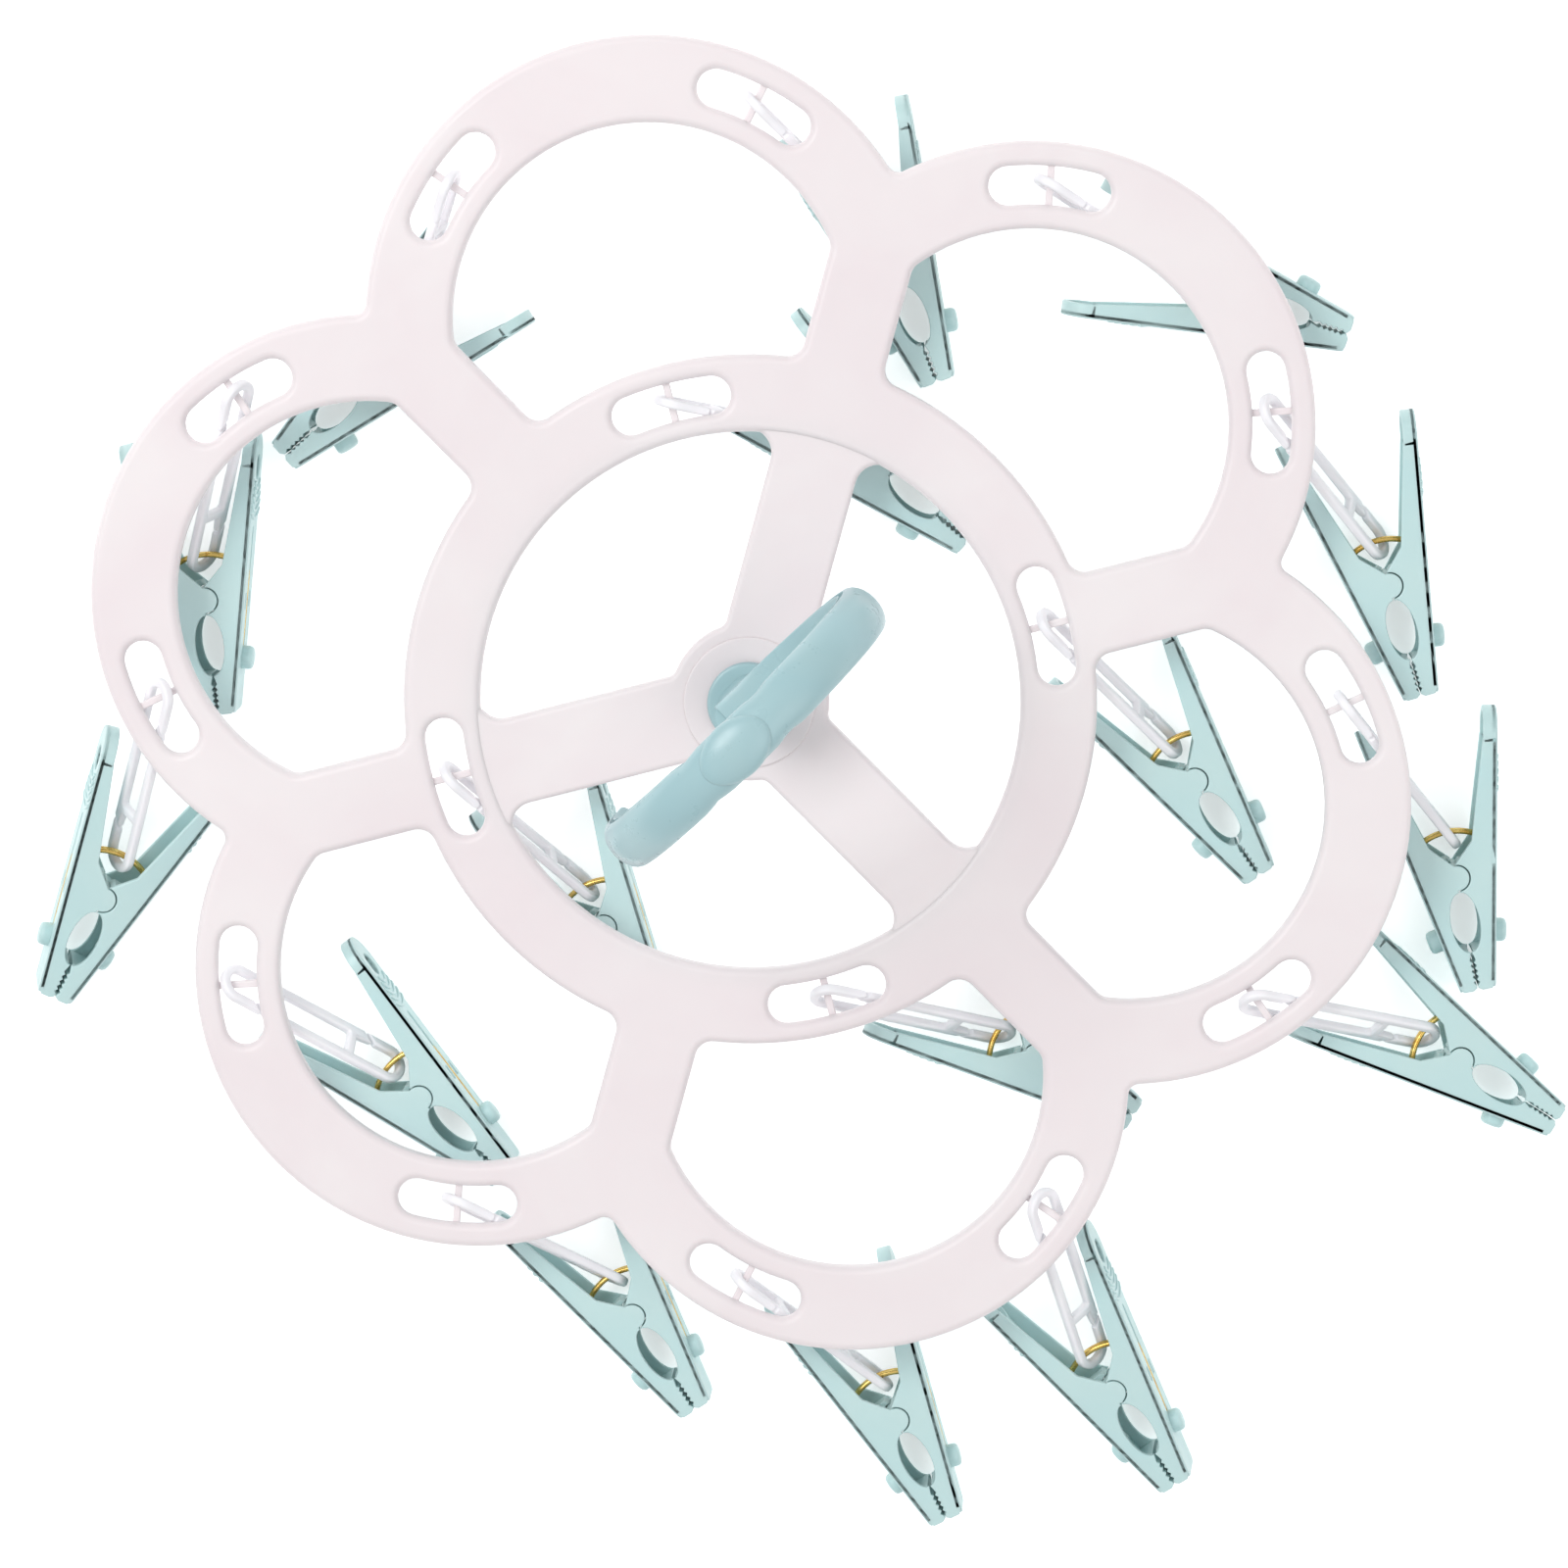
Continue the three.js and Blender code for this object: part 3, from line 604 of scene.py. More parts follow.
def moulded_plastic(name, colour, deep, roughness, scatter, cloud_mm, grain_mm):
    """Moulded polypropylene: satin, a little cloudy inside, with a faint moulded grain."""
    material, tree = empty_material(name)
    coordinates = add_node(tree, "ShaderNodeTexCoord")
    where = coordinates.outputs["Object"]
    # Melt flow leaves slow clouds in the colour.
    cloud = add_node(
        tree,
        "ShaderNodeTexNoise",
        values={"Scale": 1 / (cloud_mm * MM), "Detail": 3.0, "Roughness": 0.55, "Distortion": 0.6},
        links={"Vector": where},
    )
    base = ramp(tree, cloud.outputs["Fac"], 0.3, 0.7, [tint(deep, 1.0), tint(colour, 1.0)])
    # The tool's polish is uneven, so the gloss wanders.
    polish = add_node(
        tree,
        "ShaderNodeTexNoise",
        values={"Scale": 1 / (6 * MM), "Detail": 4.0, "Roughness": 0.6},
        links={"Vector": where},
    )
    gloss = add_node(
        tree,
        "ShaderNodeMapRange",
        values={
            "From Min": 0.3,
            "From Max": 0.7,
            "To Min": roughness - 0.05,
            "To Max": roughness + 0.07,
        },
        links={"Value": polish.outputs["Fac"]},
    )
    # Fine grain from the mould, drawn coarser than the real 0.1 mm so that it shows.
    grain = add_node(
        tree,
        "ShaderNodeTexNoise",
        values={"Scale": 1 / (grain_mm * MM), "Detail": 2.0},
        links={"Vector": where},
    )
    # Shallow sink marks, a few millimetres across.
    sink = add_node(
        tree,
        "ShaderNodeTexNoise",
        values={"Scale": 1 / (9 * MM), "Detail": 1.0},
        links={"Vector": where},
    )
    dents = add_node(
        tree,
        "ShaderNodeBump",
        values={"Strength": 0.25, "Distance": 0.25 * MM},
        links={"Height": sink.outputs["Fac"]},
    )
    surface = add_node(
        tree,
        "ShaderNodeBump",
        values={"Strength": 0.12, "Distance": 0.04 * MM},
        links={"Height": grain.outputs["Fac"], "Normal": dents.outputs["Normal"]},
    )
    shader = add_node(
        tree,
        "ShaderNodeBsdfPrincipled",
        values={
            "IOR": 1.49,
            "Subsurface Weight": scatter,
            "Subsurface Radius": (1.0, 0.9, 0.9),
            "Subsurface Scale": 1.5 * MM,
        },
        links={
            "Base Color": base,
            "Roughness": gloss.outputs["Result"],
            "Normal": surface.outputs["Normal"],
        },
    )
    add_node(tree, "ShaderNodeOutputMaterial", links={"Surface": shader.outputs["BSDF"]})
    return material


def plated_wire(name, colour):
    """Zinc-plated steel wire, passivated yellow: bright, with drawn streaks and patches."""
    material, tree = empty_material(name)
    coordinates = add_node(tree, "ShaderNodeTexCoord")
    where = coordinates.outputs["Object"]
    # Passivation film thickness varies, from pale straw to amber.
    film = add_node(
        tree,
        "ShaderNodeTexNoise",
        values={"Scale": 1 / (4 * MM), "Detail": 3.0, "Distortion": 1.2},
        links={"Vector": where},
    )
    amber = [colour[0] * 0.8, colour[1] * 0.62, colour[2] * 0.4]
    base = ramp(tree, film.outputs["Fac"], 0.35, 0.7, [tint(colour, 1.1), tint(amber, 1.0)])
    # Die lines along the wire, drawn at 0.3 mm so that they show.
    lines = add_node(
        tree,
        "ShaderNodeTexNoise",
        values={"Scale": 1 / (0.3 * MM), "Detail": 2.0},
        links={"Vector": where},
    )
    shine = add_node(
        tree,
        "ShaderNodeMapRange",
        values={"From Min": 0.3, "From Max": 0.7, "To Min": 0.2, "To Max": 0.36},
        links={"Value": lines.outputs["Fac"]},
    )
    bump = add_node(
        tree,
        "ShaderNodeBump",
        values={"Strength": 0.15, "Distance": 0.03 * MM},
        links={"Height": lines.outputs["Fac"]},
    )
    shader = add_node(
        tree,
        "ShaderNodeBsdfPrincipled",
        values={"Metallic": 1.0},
        links={
            "Base Color": base,
            "Roughness": shine.outputs["Result"],
            "Normal": bump.outputs["Normal"],
        },
    )
    add_node(tree, "ShaderNodeOutputMaterial", links={"Surface": shader.outputs["BSDF"]})
    return material


def lit_board(name, colour):
    """Opal acrylic sheet lit softly from below: matt, even, with a very soft mottle."""
    material, tree = empty_material(name)
    coordinates = add_node(tree, "ShaderNodeTexCoord")
    mottle = add_node(
        tree,
        "ShaderNodeTexNoise",
        values={"Scale": 1 / (120 * MM), "Detail": 2.0},
        links={"Vector": coordinates.outputs["Object"]},
    )
    base = ramp(tree, mottle.outputs["Fac"], 0.3, 0.7, [tint(colour, 0.985), tint(colour, 1.0)])
    shader = add_node(
        tree,
        "ShaderNodeBsdfPrincipled",
        values={
            "Roughness": 0.7,
            "IOR": 1.5,
            "Emission Color": (1.0, 1.0, 1.0, 1.0),
            "Emission Strength": 0.45,
        },
        links={"Base Color": base},
    )
    add_node(tree, "ShaderNodeOutputMaterial", links={"Surface": shader.outputs["BSDF"]})
    return material


def plastic(name, colour, deepen, *look):
    """One of the hanger's plastics, made once; `deepen` scales its colour in the clouds."""
    deep = [channel * factor for channel, factor in zip(colour, deepen)]
    return bpy.data.materials.get(name) or moulded_plastic(name, list(colour), deep, *look)


def white_plastic():
    colour = bpy.context.scene.hanger_finish.white
    look = (0.42, 0.18, 55.0, 0.8)
    return plastic("Moulded white polypropylene", colour, (0.965, 0.93, 0.945), *look)


def link_plastic():
    colour = bpy.context.scene.hanger_finish.link_white
    look = (0.38, 0.2, 20.0, 0.7)
    return plastic("Moulded natural-white polypropylene", colour, (0.96, 0.96, 0.975), *look)


def green_plastic():
    colour = bpy.context.scene.hanger_finish.green
    look = (0.3, 0.1, 26.0, 0.8)
    return plastic("Moulded sea-green polypropylene", colour, (0.93, 0.98, 1.0), *look)


def clip_plastic_painted_lighter():
    # Painted light: this green is lightened to make up for the shade under the frame, not a paler
    # plastic.
    colour = bpy.context.scene.hanger_finish.clip_green_painted_lighter
    look = (0.36, 0.12, 22.0, 0.7)
    return plastic("Sea-green polypropylene painted lighter against shade", colour, (0.92, 0.98, 1.0), *look)


def wire_plating():
    name = "Yellow-passivated spring wire"
    colour = list(bpy.context.scene.hanger_finish.wire)
    return bpy.data.materials.get(name) or plated_wire(name, colour)


# ---- frame ---------------------------------------------------------------------------------


def slot_bar_mesh():
    foot = SLOT_WIDTH / 2 + GAP
    reach = foot + BAR_WIDTH
    top = FRAME_HEIGHT - FRAME_PLATE / 2
    side = [
        (-reach, BAR_BOTTOM),
        (reach, BAR_BOTTOM),
        (reach, top),
        (foot, top),
        (foot, BAR_TOP),
        (-foot, BAR_TOP),
        (-foot, top),
        (-reach, top),
    ]
    bar = moulding([side], -BAR_WIDTH / 2, BAR_WIDTH / 2, 0.4)
    bar.transform(Matrix.Rotation(pi / 2, 4, "X"))
    return bar


def in_a_slot(point):
    """Whether a point is on the edge of one of the slots."""
    for cx, cy, radius, heading in slot_places():
        x, y = turned([(point[0] - cx, point[1] - cy)], -heading)[0]
        aside = abs(hypot(x, y) - radius) - SLOT_WIDTH / 2
        along = abs(atan2(y, x) * radius) - SLOT_LENGTH / 2
        if aside < SLOT_MARGIN and along < SLOT_MARGIN:
            return True
    return False


def frame_mesh(edge):
    ring_inner = RING_RADIUS - RING_BAND
    slots = [slot_outline(*place) for place in slot_places()]
    rim = shell(
        [flower_outline(), circle(0, 0, ring_inner, 120)] + petal_holes() + slots,
        FRAME_HEIGHT,
        edge,
        FRAME_WALL,
        in_a_slot,
    )
    spokes = shell(
        [circle(0, 0, ring_inner + SPOKE_LAP, 120)] + spoke_holes(),
        FRAME_HEIGHT - SPOKE_DROP,
        edge * SPOKE_EDGE_SHARE,
        FRAME_WALL,
        lambda point: hypot(point[0], point[1]) > ring_inner,
    )
    step = moulding([circle(0, 0, HUB_STEP_RADIUS, 72)], HUB_STEP_FOOT, FRAME_HEIGHT, 0.5, 4)
    boss_outline = circle(0, 0, HUB_RADIUS - BOSS_INSET, 72)
    boss = moulding([boss_outline, circle(0, 0, HUB_BORE_RADIUS, 48)], 0.0, BOSS_HEIGHT, 0.3)
    parts = [(mesh, IDENTITY) for mesh in (rim, spokes, step, boss)]
    bar = slot_bar_mesh()
    for cx, cy, radius, heading in slot_places():
        x, y = cx + radius * cos(heading), cy + radius * sin(heading)
        place = Matrix.Translation((x * MM, y * MM, 0.0)) @ Matrix.Rotation(heading, 4, "Z")
        parts.append((bar, place))
    return merged("flower_frame_moulding", parts)


class HANGER_OT_flower_frame(Operator):
    """Make the six-petal frame with its ring, spokes, hub, slots and cross bars"""

    bl_idname = "hanger.flower_frame"
    bl_label = "Flower Frame"

    def execute(self, context):
        edge = context.scene.hanger_sizes.frame_edge / MM
        add_piece(
            "flower_frame_moulding",
            frame_mesh(edge),
            white_plastic(),
            "frame",
            ["flower_frame"],
        )
        for node, material in (("hook_washer", white_plastic()), ("hook_cap", green_plastic())):
            mesh = frame["nodes"][node].data
            mesh.materials.clear()
            mesh.materials.append(material)
        return {"FINISHED"}


# ---- hook ----------------------------------------------------------------------------------


def hook_section(angle, half_thickness, half_width, pocket):
    """The hook's cross-section at an angle of its round part: a rounded back with side recesses."""
    t, w = half_thickness, half_width
    shoulder = -t * 0.18
    back = []
    for i in range(13):
        a = pi * (1 - i / 12)
        back.append((w * cos(a), shoulder + (t - shoulder) * sin(a)))
    flange = min(HOOK_FLANGE, t * 0.27)
    floor = w - pocket
    right = [(w, shoulder - flange * 0.5), (floor, shoulder - flange)]
    right += [(floor, -t + flange + 0.2), (w, -t + flange), (w, -t + 0.5)]
    inner = [(w * 0.8, -t), (0.0, -t - 0.1), (-w * 0.8, -t)]
    left = [(-across, radial) for across, radial in reversed(right)]
    ring = []
    for across, radial in back + right + inner + left:
        r = HOOK_RADIUS + radial
        height = HOOK_RISE + HOOK_RADIUS + r * sin(angle)
        ring.append((HOOK_LEAN + r * cos(angle), across, height))
    return ring


def hook_band():
    start, end = radians(HOOK_START), radians(HOOK_TIP)
    sections = []
    count = 84
    for i in range(count + 1):
        share = i / count
        angle = start + (end - start) * share
        from_tip = (end - angle) * HOOK_RADIUS
        # The free tip flares slightly, then rounds off.
        round_off = sqrt(max(0.0, 1 - max(0.0, 1 - from_tip / TIP_ROUNDING) ** 2))
        flare = TIP_FLARE * max(0.0, 1 - from_tip / TIP_FLARE_LENGTH)
        thick = (HOOK_HALF_THICKNESS + flare) * max(0.25, round_off)
        # The band narrows on both sides of the crown pad.
        aside = abs(angle - pi / 2) * HOOK_RADIUS
        waist = WAIST_DEPTH * exp(-(((aside - WAIST_AT) / WAIST_LENGTH) ** 2))
        wide = HOOK_HALF_WIDTH - waist - TIP_NARROWING * (1 - round_off)
        # The side recesses fade out before the tip and into the neck.
        open_side = min(1.0, max(0.0, (from_tip - 4.0) / 1.2), max(0.0, (share - 0.05) / 0.02))
        pocket = 0.04 + (HOOK_POCKET - 0.04) * max(0.0, open_side)
        sections.append(hook_section(angle, thick, wide, pocket))
    return lofted(sections)


def hook_neck():
    """From the base disc up into the round part: a waisted post that widens along the hook."""
    stations = [
        (2.4, 0.0, 7.2, 6.9),
        (3.4, 0.0, 6.4, 6.4),
        (6.0, 0.1, 5.6, 6.0),
        (11.0, 0.6, 4.9, 5.8),
        (16.0, 1.4, 5.0, 5.9),
        (20.0, 2.3, 6.2, 6.2),
        (22.6, 2.9, 9.0, 6.4),
        (25.0, 3.0, 9.6, 6.4),
    ]
    sections = []
    for height, shift, along, across in stations:
        ring = []
        for x, y in circle(0, 0, 1.0, 40):
            # A rounded rectangle: the fourth-power oval through its sides.
            scale = 1 / (abs(x) ** 3.4 + abs(y) ** 3.4) ** (1 / 3.4)
            ring.append((shift + along * x * scale, across * y * scale, height))
        sections.append(ring)
    return lofted(sections)


def crown_pad():
    """The oval pad on top, bent to the hook's curve, with a softly domed face."""
    sections = []
    for grow, rise in CROWN_PROFILE:
        ring = []
        for x, y in circle(0, 0, 1.0, 56):
            along, across = x * CROWN_HALF_LENGTH * grow, y * CROWN_HALF_WIDTH * grow
            angle = pi / 2 - along / (HOOK_RADIUS + HOOK_HALF_THICKNESS)
            drop = CROWN_CAMBER * (across / HOOK_HALF_WIDTH) ** 2
            r = HOOK_RADIUS + HOOK_HALF_THICKNESS + rise - drop
            height = HOOK_RISE + HOOK_RADIUS + r * sin(angle)
            ring.append((HOOK_LEAN + r * cos(angle), across, height))
        sections.append(ring)
    return lofted(sections)


def hook_mesh():
    base = lathed(
        [
            (0, -3.2),
            (3.8, -3.2),
            (3.8, 0.0),
            (10.0, 0.0),
            (10.4, 0.4),
            (10.4, 2.2),
            (10.1, 2.7),
            (9.4, 3.0),
            (0, 3.0),
        ]
    )
    parts = [(mesh, IDENTITY) for mesh in (hook_band(), hook_neck(), crown_pad(), base)]
    return merged("swivel_hook_moulding", parts, 34.0)


class HANGER_OT_swivel_hook(Operator):
    """Make the swivel hook with its base disc, neck, recessed band and crown pad"""

    bl_idname = "hanger.swivel_hook"
    bl_label = "Swivel Hook"

    def execute(self, context):
        edge = context.scene.hanger_sizes.hook_edge
        foot = Matrix.Translation((0.0, 0.0, HOOK_FOOT * MM))
        place = foot @ Matrix.Rotation(radians(HOOK_HEADING), 4, "Z")
        hook = add_piece(
            "swivel_hook_moulding",
            hook_mesh(),
            green_plastic(),
            "hook",
            ["swivel_hook"],
            place,
        )
        bevel = hook.modifiers.new("Rounded edges", "BEVEL")
        bevel.width = edge
        bevel.segments = 2
        bevel.limit_method = "ANGLE"
        bevel.angle_limit = radians(40)
        return {"FINISHED"}


# ---- links ---------------------------------------------------------------------------------


def axes_matrix(x, y, z, origin):
    matrix = Matrix((x, y, z)).transposed().to_4x4()
    matrix.translation = origin
    return matrix


def link_place(number, roll):
    """Where a link lies, from its two joints and its solid's near end."""
    bar = Vector(JOINTS[f"link_{number}_swing"]["pos_m"])
    arch = Vector(JOINTS[f"clip_{number}_swing"]["pos_m"])
    x = (arch - bar).normalized()
    level = Vector((-x.y, x.x, 0.0)).normalized()
    z = Quaternion(x, radians(roll)) @ level
    y = z.cross(x)
    near = min((v.co - bar).dot(x) for v in frame["nodes"][f"link_{number}"].data.vertices)
    return axes_matrix(x, y, z, bar + x * near)


class HANGER_OT_links(Operator):
    """Make the S-hook links between the frame's bars and the clips"""

    bl_idname = "hanger.links"
    bl_label = "Links"

    def execute(self, context):
        edge = context.scene.hanger_sizes.link_edge / MM
        flat = moulding(link_outline(), -LINK_THICKNESS / 2, LINK_THICKNESS / 2, edge)
        mesh = merged("s_hook_link", [(flat, IDENTITY)])
        for number, roll in zip(CLIP_NUMBERS, LINK_ROLLS):
            add_piece(
                f"s_hook_link_{number}",
                mesh,
                link_plastic(),
                f"link_{number}",
                [f"link_{number}"],
                link_place(number, roll),
            )
        return {"FINISHED"}


# ---- clips ---------------------------------------------------------------------------------


def outer_face(u):
    return CLIP_TIP + CLIP_SLOPE * u


def contact_edge(tooth):
    """The toothed closing edge from the tip to the throat."""
    points = [(0.0, CLOSING_GAP + 1.0), (0.7, CLOSING_GAP)]
    u = TEETH_START
    while u + TOOTH_PITCH < CONTACT_LENGTH:
        points.append((u, CLOSING_GAP))
        points += [(u + TOOTH_PITCH * share, CLOSING_GAP + tooth) for share in (0.45, 0.55)]
        u += TOOTH_PITCH
    return points


def throat_edge():
    middle = CONTACT_LENGTH + THROAT_LENGTH / 2
    points = []
    for i in range(17):
        angle = pi * (1 - i / 16)
        u = middle + THROAT_LENGTH / 2 * cos(angle)
        points.append((u, CLOSING_GAP + THROAT_HALF * sin(angle)))
    return points


def side_wall(tooth, lobe):
    """One side wall's outline, with the fulcrum's lobe or its socket, up to the handle's end."""
    if lobe:
        fulcrum = arc(PIVOT_U, 0, LOBE_RADIUS, radians(177), radians(363), 14)
    else:
        fulcrum = arc(PIVOT_U, 0, LOBE_RADIUS + GAP, radians(177), radians(3), 14)
    end = CLIP_LENGTH - CLIP_HALF_WIDTH
    depth_share = (end - HANDLE_START) / (CLIP_LENGTH - HANDLE_START)
    end_depth = HANDLE_DEPTH + (HANDLE_END_DEPTH - HANDLE_DEPTH) * depth_share
    return (
        contact_edge(tooth)
        + throat_edge()
        + fulcrum
        + [
            (HANDLE_START, outer_face(HANDLE_START) - HANDLE_DEPTH),
            (end, outer_face(end) - end_depth),
            (end, outer_face(end) - 0.05),
            (1.4, outer_face(1.4) - 0.05),
            (0.0, outer_face(0) - 0.9),
        ]
    )


def tip_block(tooth):
    end = CONTACT_LENGTH + 0.3
    return contact_edge(tooth) + [
        (end, CLOSING_GAP + 0.4),
        (end, outer_face(end) - 0.6),
        (1.5, outer_face(1.5) - 0.3),
        (0.0, outer_face(0) - 1.1),
    ]


def jaw_mesh(sizes):
    edge = sizes.clip_edge / MM
    tooth = sizes.tooth / MM
    ridge = sizes.ridge / MM
    half = CLIP_HALF_WIDTH
    slope = atan(CLIP_SLOPE)
    stretch = sqrt(1 + CLIP_SLOPE**2)
    length = CLIP_LENGTH * stretch
    # Distances along the outer face, its z pointing in from the face.
    on_face = axes_matrix(
        Vector((cos(slope), sin(slope), 0.0)),
        Vector((0.0, 0.0, 1.0)),
        Vector((sin(slope), -cos(slope), 0.0)),
        Vector((0.0, CLIP_TIP * MM, 0.0)),
    )
    round_end = length - half
    outline = (
        arc(round_end, 0, half, -pi / 2, pi / 2, 24)
        + arc(1.8, half - 1.8, 1.8, pi / 2, pi, 5)
        + arc(1.8, -half + 1.8, 1.8, pi, 1.5 * pi, 5)
    )
    slot = rounded_box(WIRE_SLOT[0] * stretch, WIRE_SLOT[1] * stretch, 0.95, 0.9)
    windows = [turned(rounded_box(26.4, 30.4, 0.9, 0.25), 0, 0, side * 3.3) for side in (-1, 1)]
    hole_at = HANDLE_HOLE_U * stretch
    hole = circle(hole_at, 0, HANDLE_HOLE_RADIUS, 32)
    web = moulding([outline, slot, *windows, hole], 0.0, CLIP_WALL, edge)
    rim = (
        arc(round_end, 0, half, -pi / 2, pi / 2, 24)
        + [(round_end - 1.5, half), (round_end - 1.5, half - CLIP_WALL)]
        + arc(round_end, 0, half - CLIP_WALL, pi / 2, -pi / 2, 20)
        + [(round_end - 1.5, -half + CLIP_WALL), (round_end - 1.5, -half)]
    )
    end_wall = moulding([rim], 0.1, HANDLE_END_DEPTH + 0.6, edge)
    collar = moulding([circle(hole_at, 0, COLLAR_RADIUS, 32), hole], 0.2, 2.3, 0.25)
    parts = [(web, on_face), (end_wall, on_face), (collar, on_face)]
    # Parallel curved ridges for the fingers.
    for k in range(RIDGE_COUNT):
        radius = RIDGE_START + RIDGE_PITCH * k
        spread = radians(52 - 5 * k)
        band = arc(hole_at, 0, radius + RIDGE_HALF, pi - spread, pi + spread, 14)
        band += arc(hole_at, 0, radius - RIDGE_HALF, pi + spread, pi - spread, 14)
        parts.append((moulding([band], -ridge, 0.4, 0.3), on_face))
    # Thin ribs along the web stiffen the pinching end.
    for side in (-1, 1):
        rib = turned(rounded_box(15.0, 45.0, 0.35, 0.3), 0, 0, side * 1.75)
        parts.append((moulding([rib], CLIP_WALL - 0.2, CLIP_WALL + 1.0, 0.2), on_face))
    walls = ((True, half - CLIP_WALL, half), (False, -half, -half + CLIP_WALL))
    for lobe, low, high in walls:
        parts.append((moulding([side_wall(tooth, lobe)], low, high, edge), IDENTITY))
    parts.append((moulding([tip_block(tooth)], -half + 1.0, half - 1.0, 0.1), IDENTITY))
    knuckle = arc(PIVOT_U, 0, LOBE_RADIUS, radians(150), radians(390), 18) + [
        (PIVOT_U + 2.2, outer_face(PIVOT_U) - 1.2),
        (PIVOT_U - 2.2, outer_face(PIVOT_U) - 1.2),
    ]
    parts.append((moulding([knuckle], CLOSING_GAP, half - 1.0, 0.2), IDENTITY))
    saddle = arc(PIVOT_U, 0, LOBE_RADIUS + GAP, radians(172), radians(8), 16) + [
        (PIVOT_U + 4.6, 1.4),
        (PIVOT_U + 3.4, outer_face(PIVOT_U) - 1.2),
        (PIVOT_U - 3.4, outer_face(PIVOT_U) - 1.2),
        (PIVOT_U - 4.3, 1.4),
    ]
    parts.append((moulding([saddle], -half + 1.0, -CLOSING_GAP, 0.2), IDENTITY))
    dome = lathed(BOSS_PROFILE, 40)
    parts.append((dome, on_face @ Matrix.Translation((BOSS_U * stretch * MM, 0.0, 0.0))))
    return merged("clip_jaw", parts)


def clip_place(number):
    """A clip's own axes: u from its pivot to its wire arch, w along its squeeze joint."""
    squeeze = JOINTS[f"clip_{number}_squeeze"]
    pivot = Vector(squeeze["pos_m"])
    arch = Vector(JOINTS[f"clip_{number}_swing"]["pos_m"])
    u = (arch - pivot).normalized()
    w = Vector(squeeze["axis"]).normalized()
    v = w.cross(u)
    return axes_matrix(u, v, w, pivot - u * PIVOT_U * MM)


class HANGER_OT_clips(Operator):
    """Make both jaws of every clip"""

    bl_idname = "hanger.clips"
    bl_label = "Clips"

    def execute(self, context):
        mesh = jaw_mesh(context.scene.hanger_sizes)
        opposite = Matrix.Rotation(pi, 4, "X")
        for number in CLIP_NUMBERS:
            place = clip_place(number)
            for side, body, matrix in (
                ("a", f"clip_{number}", place),
                ("b", f"clip_{number}_moving_jaw", place @ opposite),
            ):
                add_piece(
                    f"clip_jaw_{number}_{side}",
                    mesh,
                    clip_plastic_painted_lighter(),
                    body,
                    [f"clip_{number}_jaw_{side}"],
                    matrix,
                )
        return {"FINISHED"}


# ---- springs -------------------------------------------------------------------------------


def wire_path():
    """One strand in (u, v): down one outer slot, through the web, over the arch and back."""
    centre = ARCH_U - ARCH_RADIUS
    spread = asin(ARCH_HALF / ARCH_RADIUS)
    half = [
        (16.2, outer_face(16.2) - 1.5),
        (16.6, outer_face(16.6) - 0.8),
        (20.0, outer_face(20) - 0.75),
        (28.0, outer_face(28) - 0.75),
        (33.5, outer_face(33.5) - 0.75),
        (35.2, outer_face(35.2) - 0.85),
        (36.3, outer_face(36.3) - 1.2),
        (36.9, outer_face(36.9) - 1.9),
    ]
    arch = arc(centre, 0, ARCH_RADIUS, spread, -spread, 24)
    return half + arch + [(u, -v) for u, v in reversed(half)]


def spring_mesh(wire):
    strands = []
    for side in (-1, 1):
        across = side * (wire / MM / 2 + 0.02)
        strands.append((tube([(u, v, across) for u, v in wire_path()], wire), IDENTITY))
    return merged("spring_wire", strands, 60.0)


class HANGER_OT_springs(Operator):
    """Make every clip's two-strand spring wire, set between its jaws"""

    bl_idname = "hanger.springs"
    bl_label = "Springs"

    def execute(self, context):
        wire = context.scene.hanger_sizes.wire
        mesh = spring_mesh(wire)
        mesh.materials.append(wire_plating())
        for number in CLIP_NUMBERS:
            place = clip_place(number)
            spring = bpy.data.objects.new(f"spring_wire_{number}", mesh.copy())
            context.scene.collection.objects.link(spring)
            spring.matrix_world = place
            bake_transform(spring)
            if f"clip_{number}_spring" in frame["nodes"]:
                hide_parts(f"clip_{number}_spring")
        return {"FINISHED"}


# ---- stage ---------------------------------------------------------------------------------


def view_matrix():
    """The camera's place: tilted off the vertical about the target, then rolled."""
    tilt, heading, roll = radians(VIEW_TILT), radians(VIEW_TILT_HEADING), radians(VIEW_ROLL)
    offset = Vector((sin(tilt) * cos(heading), sin(tilt) * sin(heading), cos(tilt)))
    target = Vector(VIEW_TARGET) * MM
    right = (-offset).cross(Vector((0.0, 1.0, 0.0))).normalized()
    up = right.cross(-offset)
    rolled_right = right * cos(roll) + up * sin(roll)
    rolled_up = up * cos(roll) - right * sin(roll)
    return axes_matrix(rolled_right, rolled_up, offset, target + offset * VIEW_DISTANCE * MM)


def soft_light(name, place, size, power):
    light = bpy.data.lights.new(name, "AREA")
    light.shape = "DISK"
    light.size = size
    light.energy = power
    lamp = bpy.data.objects.new(name, light)
    lamp.location = place
    lamp.rotation_euler = (-Vector(place)).to_track_quat("-Z", "Y").to_euler()
    bpy.context.scene.collection.objects.link(lamp)
    return lamp


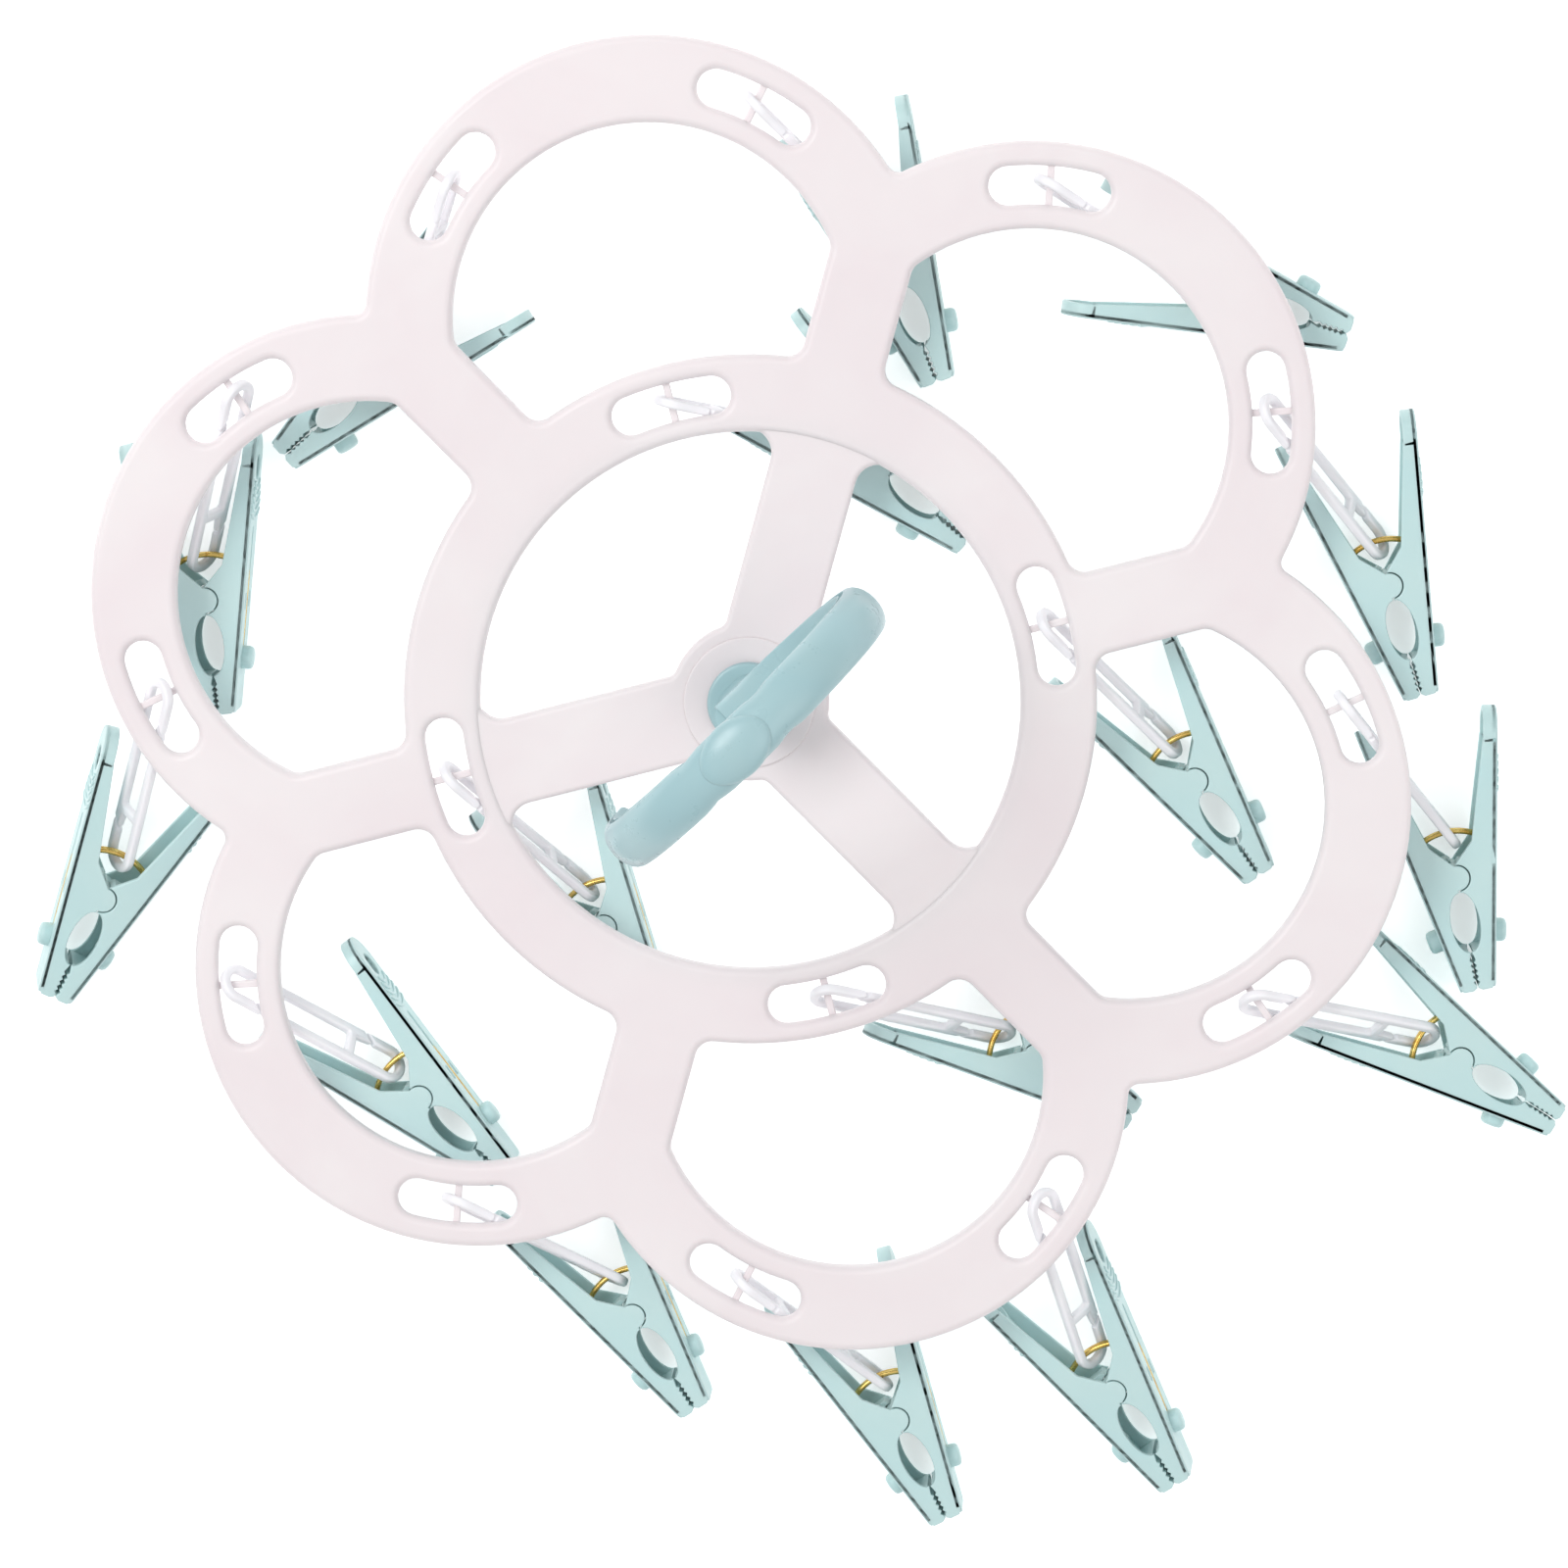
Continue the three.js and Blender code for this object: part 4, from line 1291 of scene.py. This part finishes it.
class HANGER_OT_stage(Operator):
    """Make the floor, the soft light and the camera"""

    bl_idname = "hanger.stage"
    bl_label = "Stage"

    def execute(self, context):
        scene = context.scene
        board = bpy.data.meshes.new("floor")
        reach = FLOOR_REACH
        signs = ((-1, -1), (1, -1), (1, 1), (-1, 1))
        corners = [(x * reach, y * reach, 0) for x, y in signs]
        board.from_pydata(corners, [], [(0, 1, 2, 3)])
        board.materials.append(lit_board("Backlit opal acrylic", list(scene.hanger_finish.floor)))
        floor = bpy.data.objects.new("floor", board)
        floor.location = (0.0, 0.0, FLOOR_Z * MM)
        scene.collection.objects.link(floor)

        soft_light("softbox_key", (-0.7, 0.9, 1.5), 0.9, 15.0)
        soft_light("softbox_fill", (1.1, -0.6, 1.3), 1.3, 5.0)
        world = bpy.data.worlds.new("Studio")
        world.use_nodes = True
        tree = world.node_tree
        direction = add_node(tree, "ShaderNodeTexCoord")
        where = {"Vector": direction.outputs["Generated"]}
        height = add_node(tree, "ShaderNodeSeparateXYZ", links=where)
        shades = [(0.3, 0.3, 0.31, 1.0), (0.95, 0.95, 0.95, 1.0)]
        dome = ramp(tree, height.outputs["Z"], 0.0, 0.75, shades)
        background = tree.nodes["Background"]
        tree.links.new(dome, background.inputs["Color"])
        background.inputs["Strength"].default_value = SKY_STRENGTH
        scene.world = world
        scene.view_settings.view_transform = "Standard"

        lens = bpy.data.cameras.new("camera")
        lens.lens = VIEW_LENS
        lens.sensor_width = 36.0
        lens.clip_start = 0.05
        camera = bpy.data.objects.new("camera", lens)
        camera.matrix_world = view_matrix()
        scene.collection.objects.link(camera)
        scene.camera = camera
        return {"FINISHED"}


# ---- panel and run -------------------------------------------------------------------------


class HANGER_PT_panel(Panel):
    """The hanger's sizes, finishes and pieces"""

    bl_label = "Clip Drying Hanger"
    bl_idname = "HANGER_PT_panel"
    bl_space_type = "VIEW_3D"
    bl_region_type = "UI"
    bl_category = "Hanger"

    def draw(self, context):
        column = self.layout.column()
        for group in (context.scene.hanger_sizes, context.scene.hanger_finish):
            for name in type(group).__annotations__:
                column.prop(group, name)
        for operator in OPERATORS:
            column.operator(operator.bl_idname)


OPERATORS = (
    HANGER_OT_stage,
    HANGER_OT_flower_frame,
    HANGER_OT_swivel_hook,
    HANGER_OT_links,
    HANGER_OT_clips,
    HANGER_OT_springs,
)
CLASSES = (HangerSizes, HangerFinish, *OPERATORS, HANGER_PT_panel)


def register():
    for cls in CLASSES:
        bpy.utils.register_class(cls)
    bpy.types.Scene.hanger_sizes = PointerProperty(type=HangerSizes)
    bpy.types.Scene.hanger_finish = PointerProperty(type=HangerFinish)


def unregister():
    del bpy.types.Scene.hanger_finish
    del bpy.types.Scene.hanger_sizes
    for cls in reversed(CLASSES):
        bpy.utils.unregister_class(cls)


def main():
    register()
    bpy.ops.hanger.stage()
    bpy.ops.hanger.flower_frame()
    bpy.ops.hanger.swivel_hook()
    bpy.ops.hanger.links()
    bpy.ops.hanger.clips()
    bpy.ops.hanger.springs()


if __name__ == "__main__":
    main()
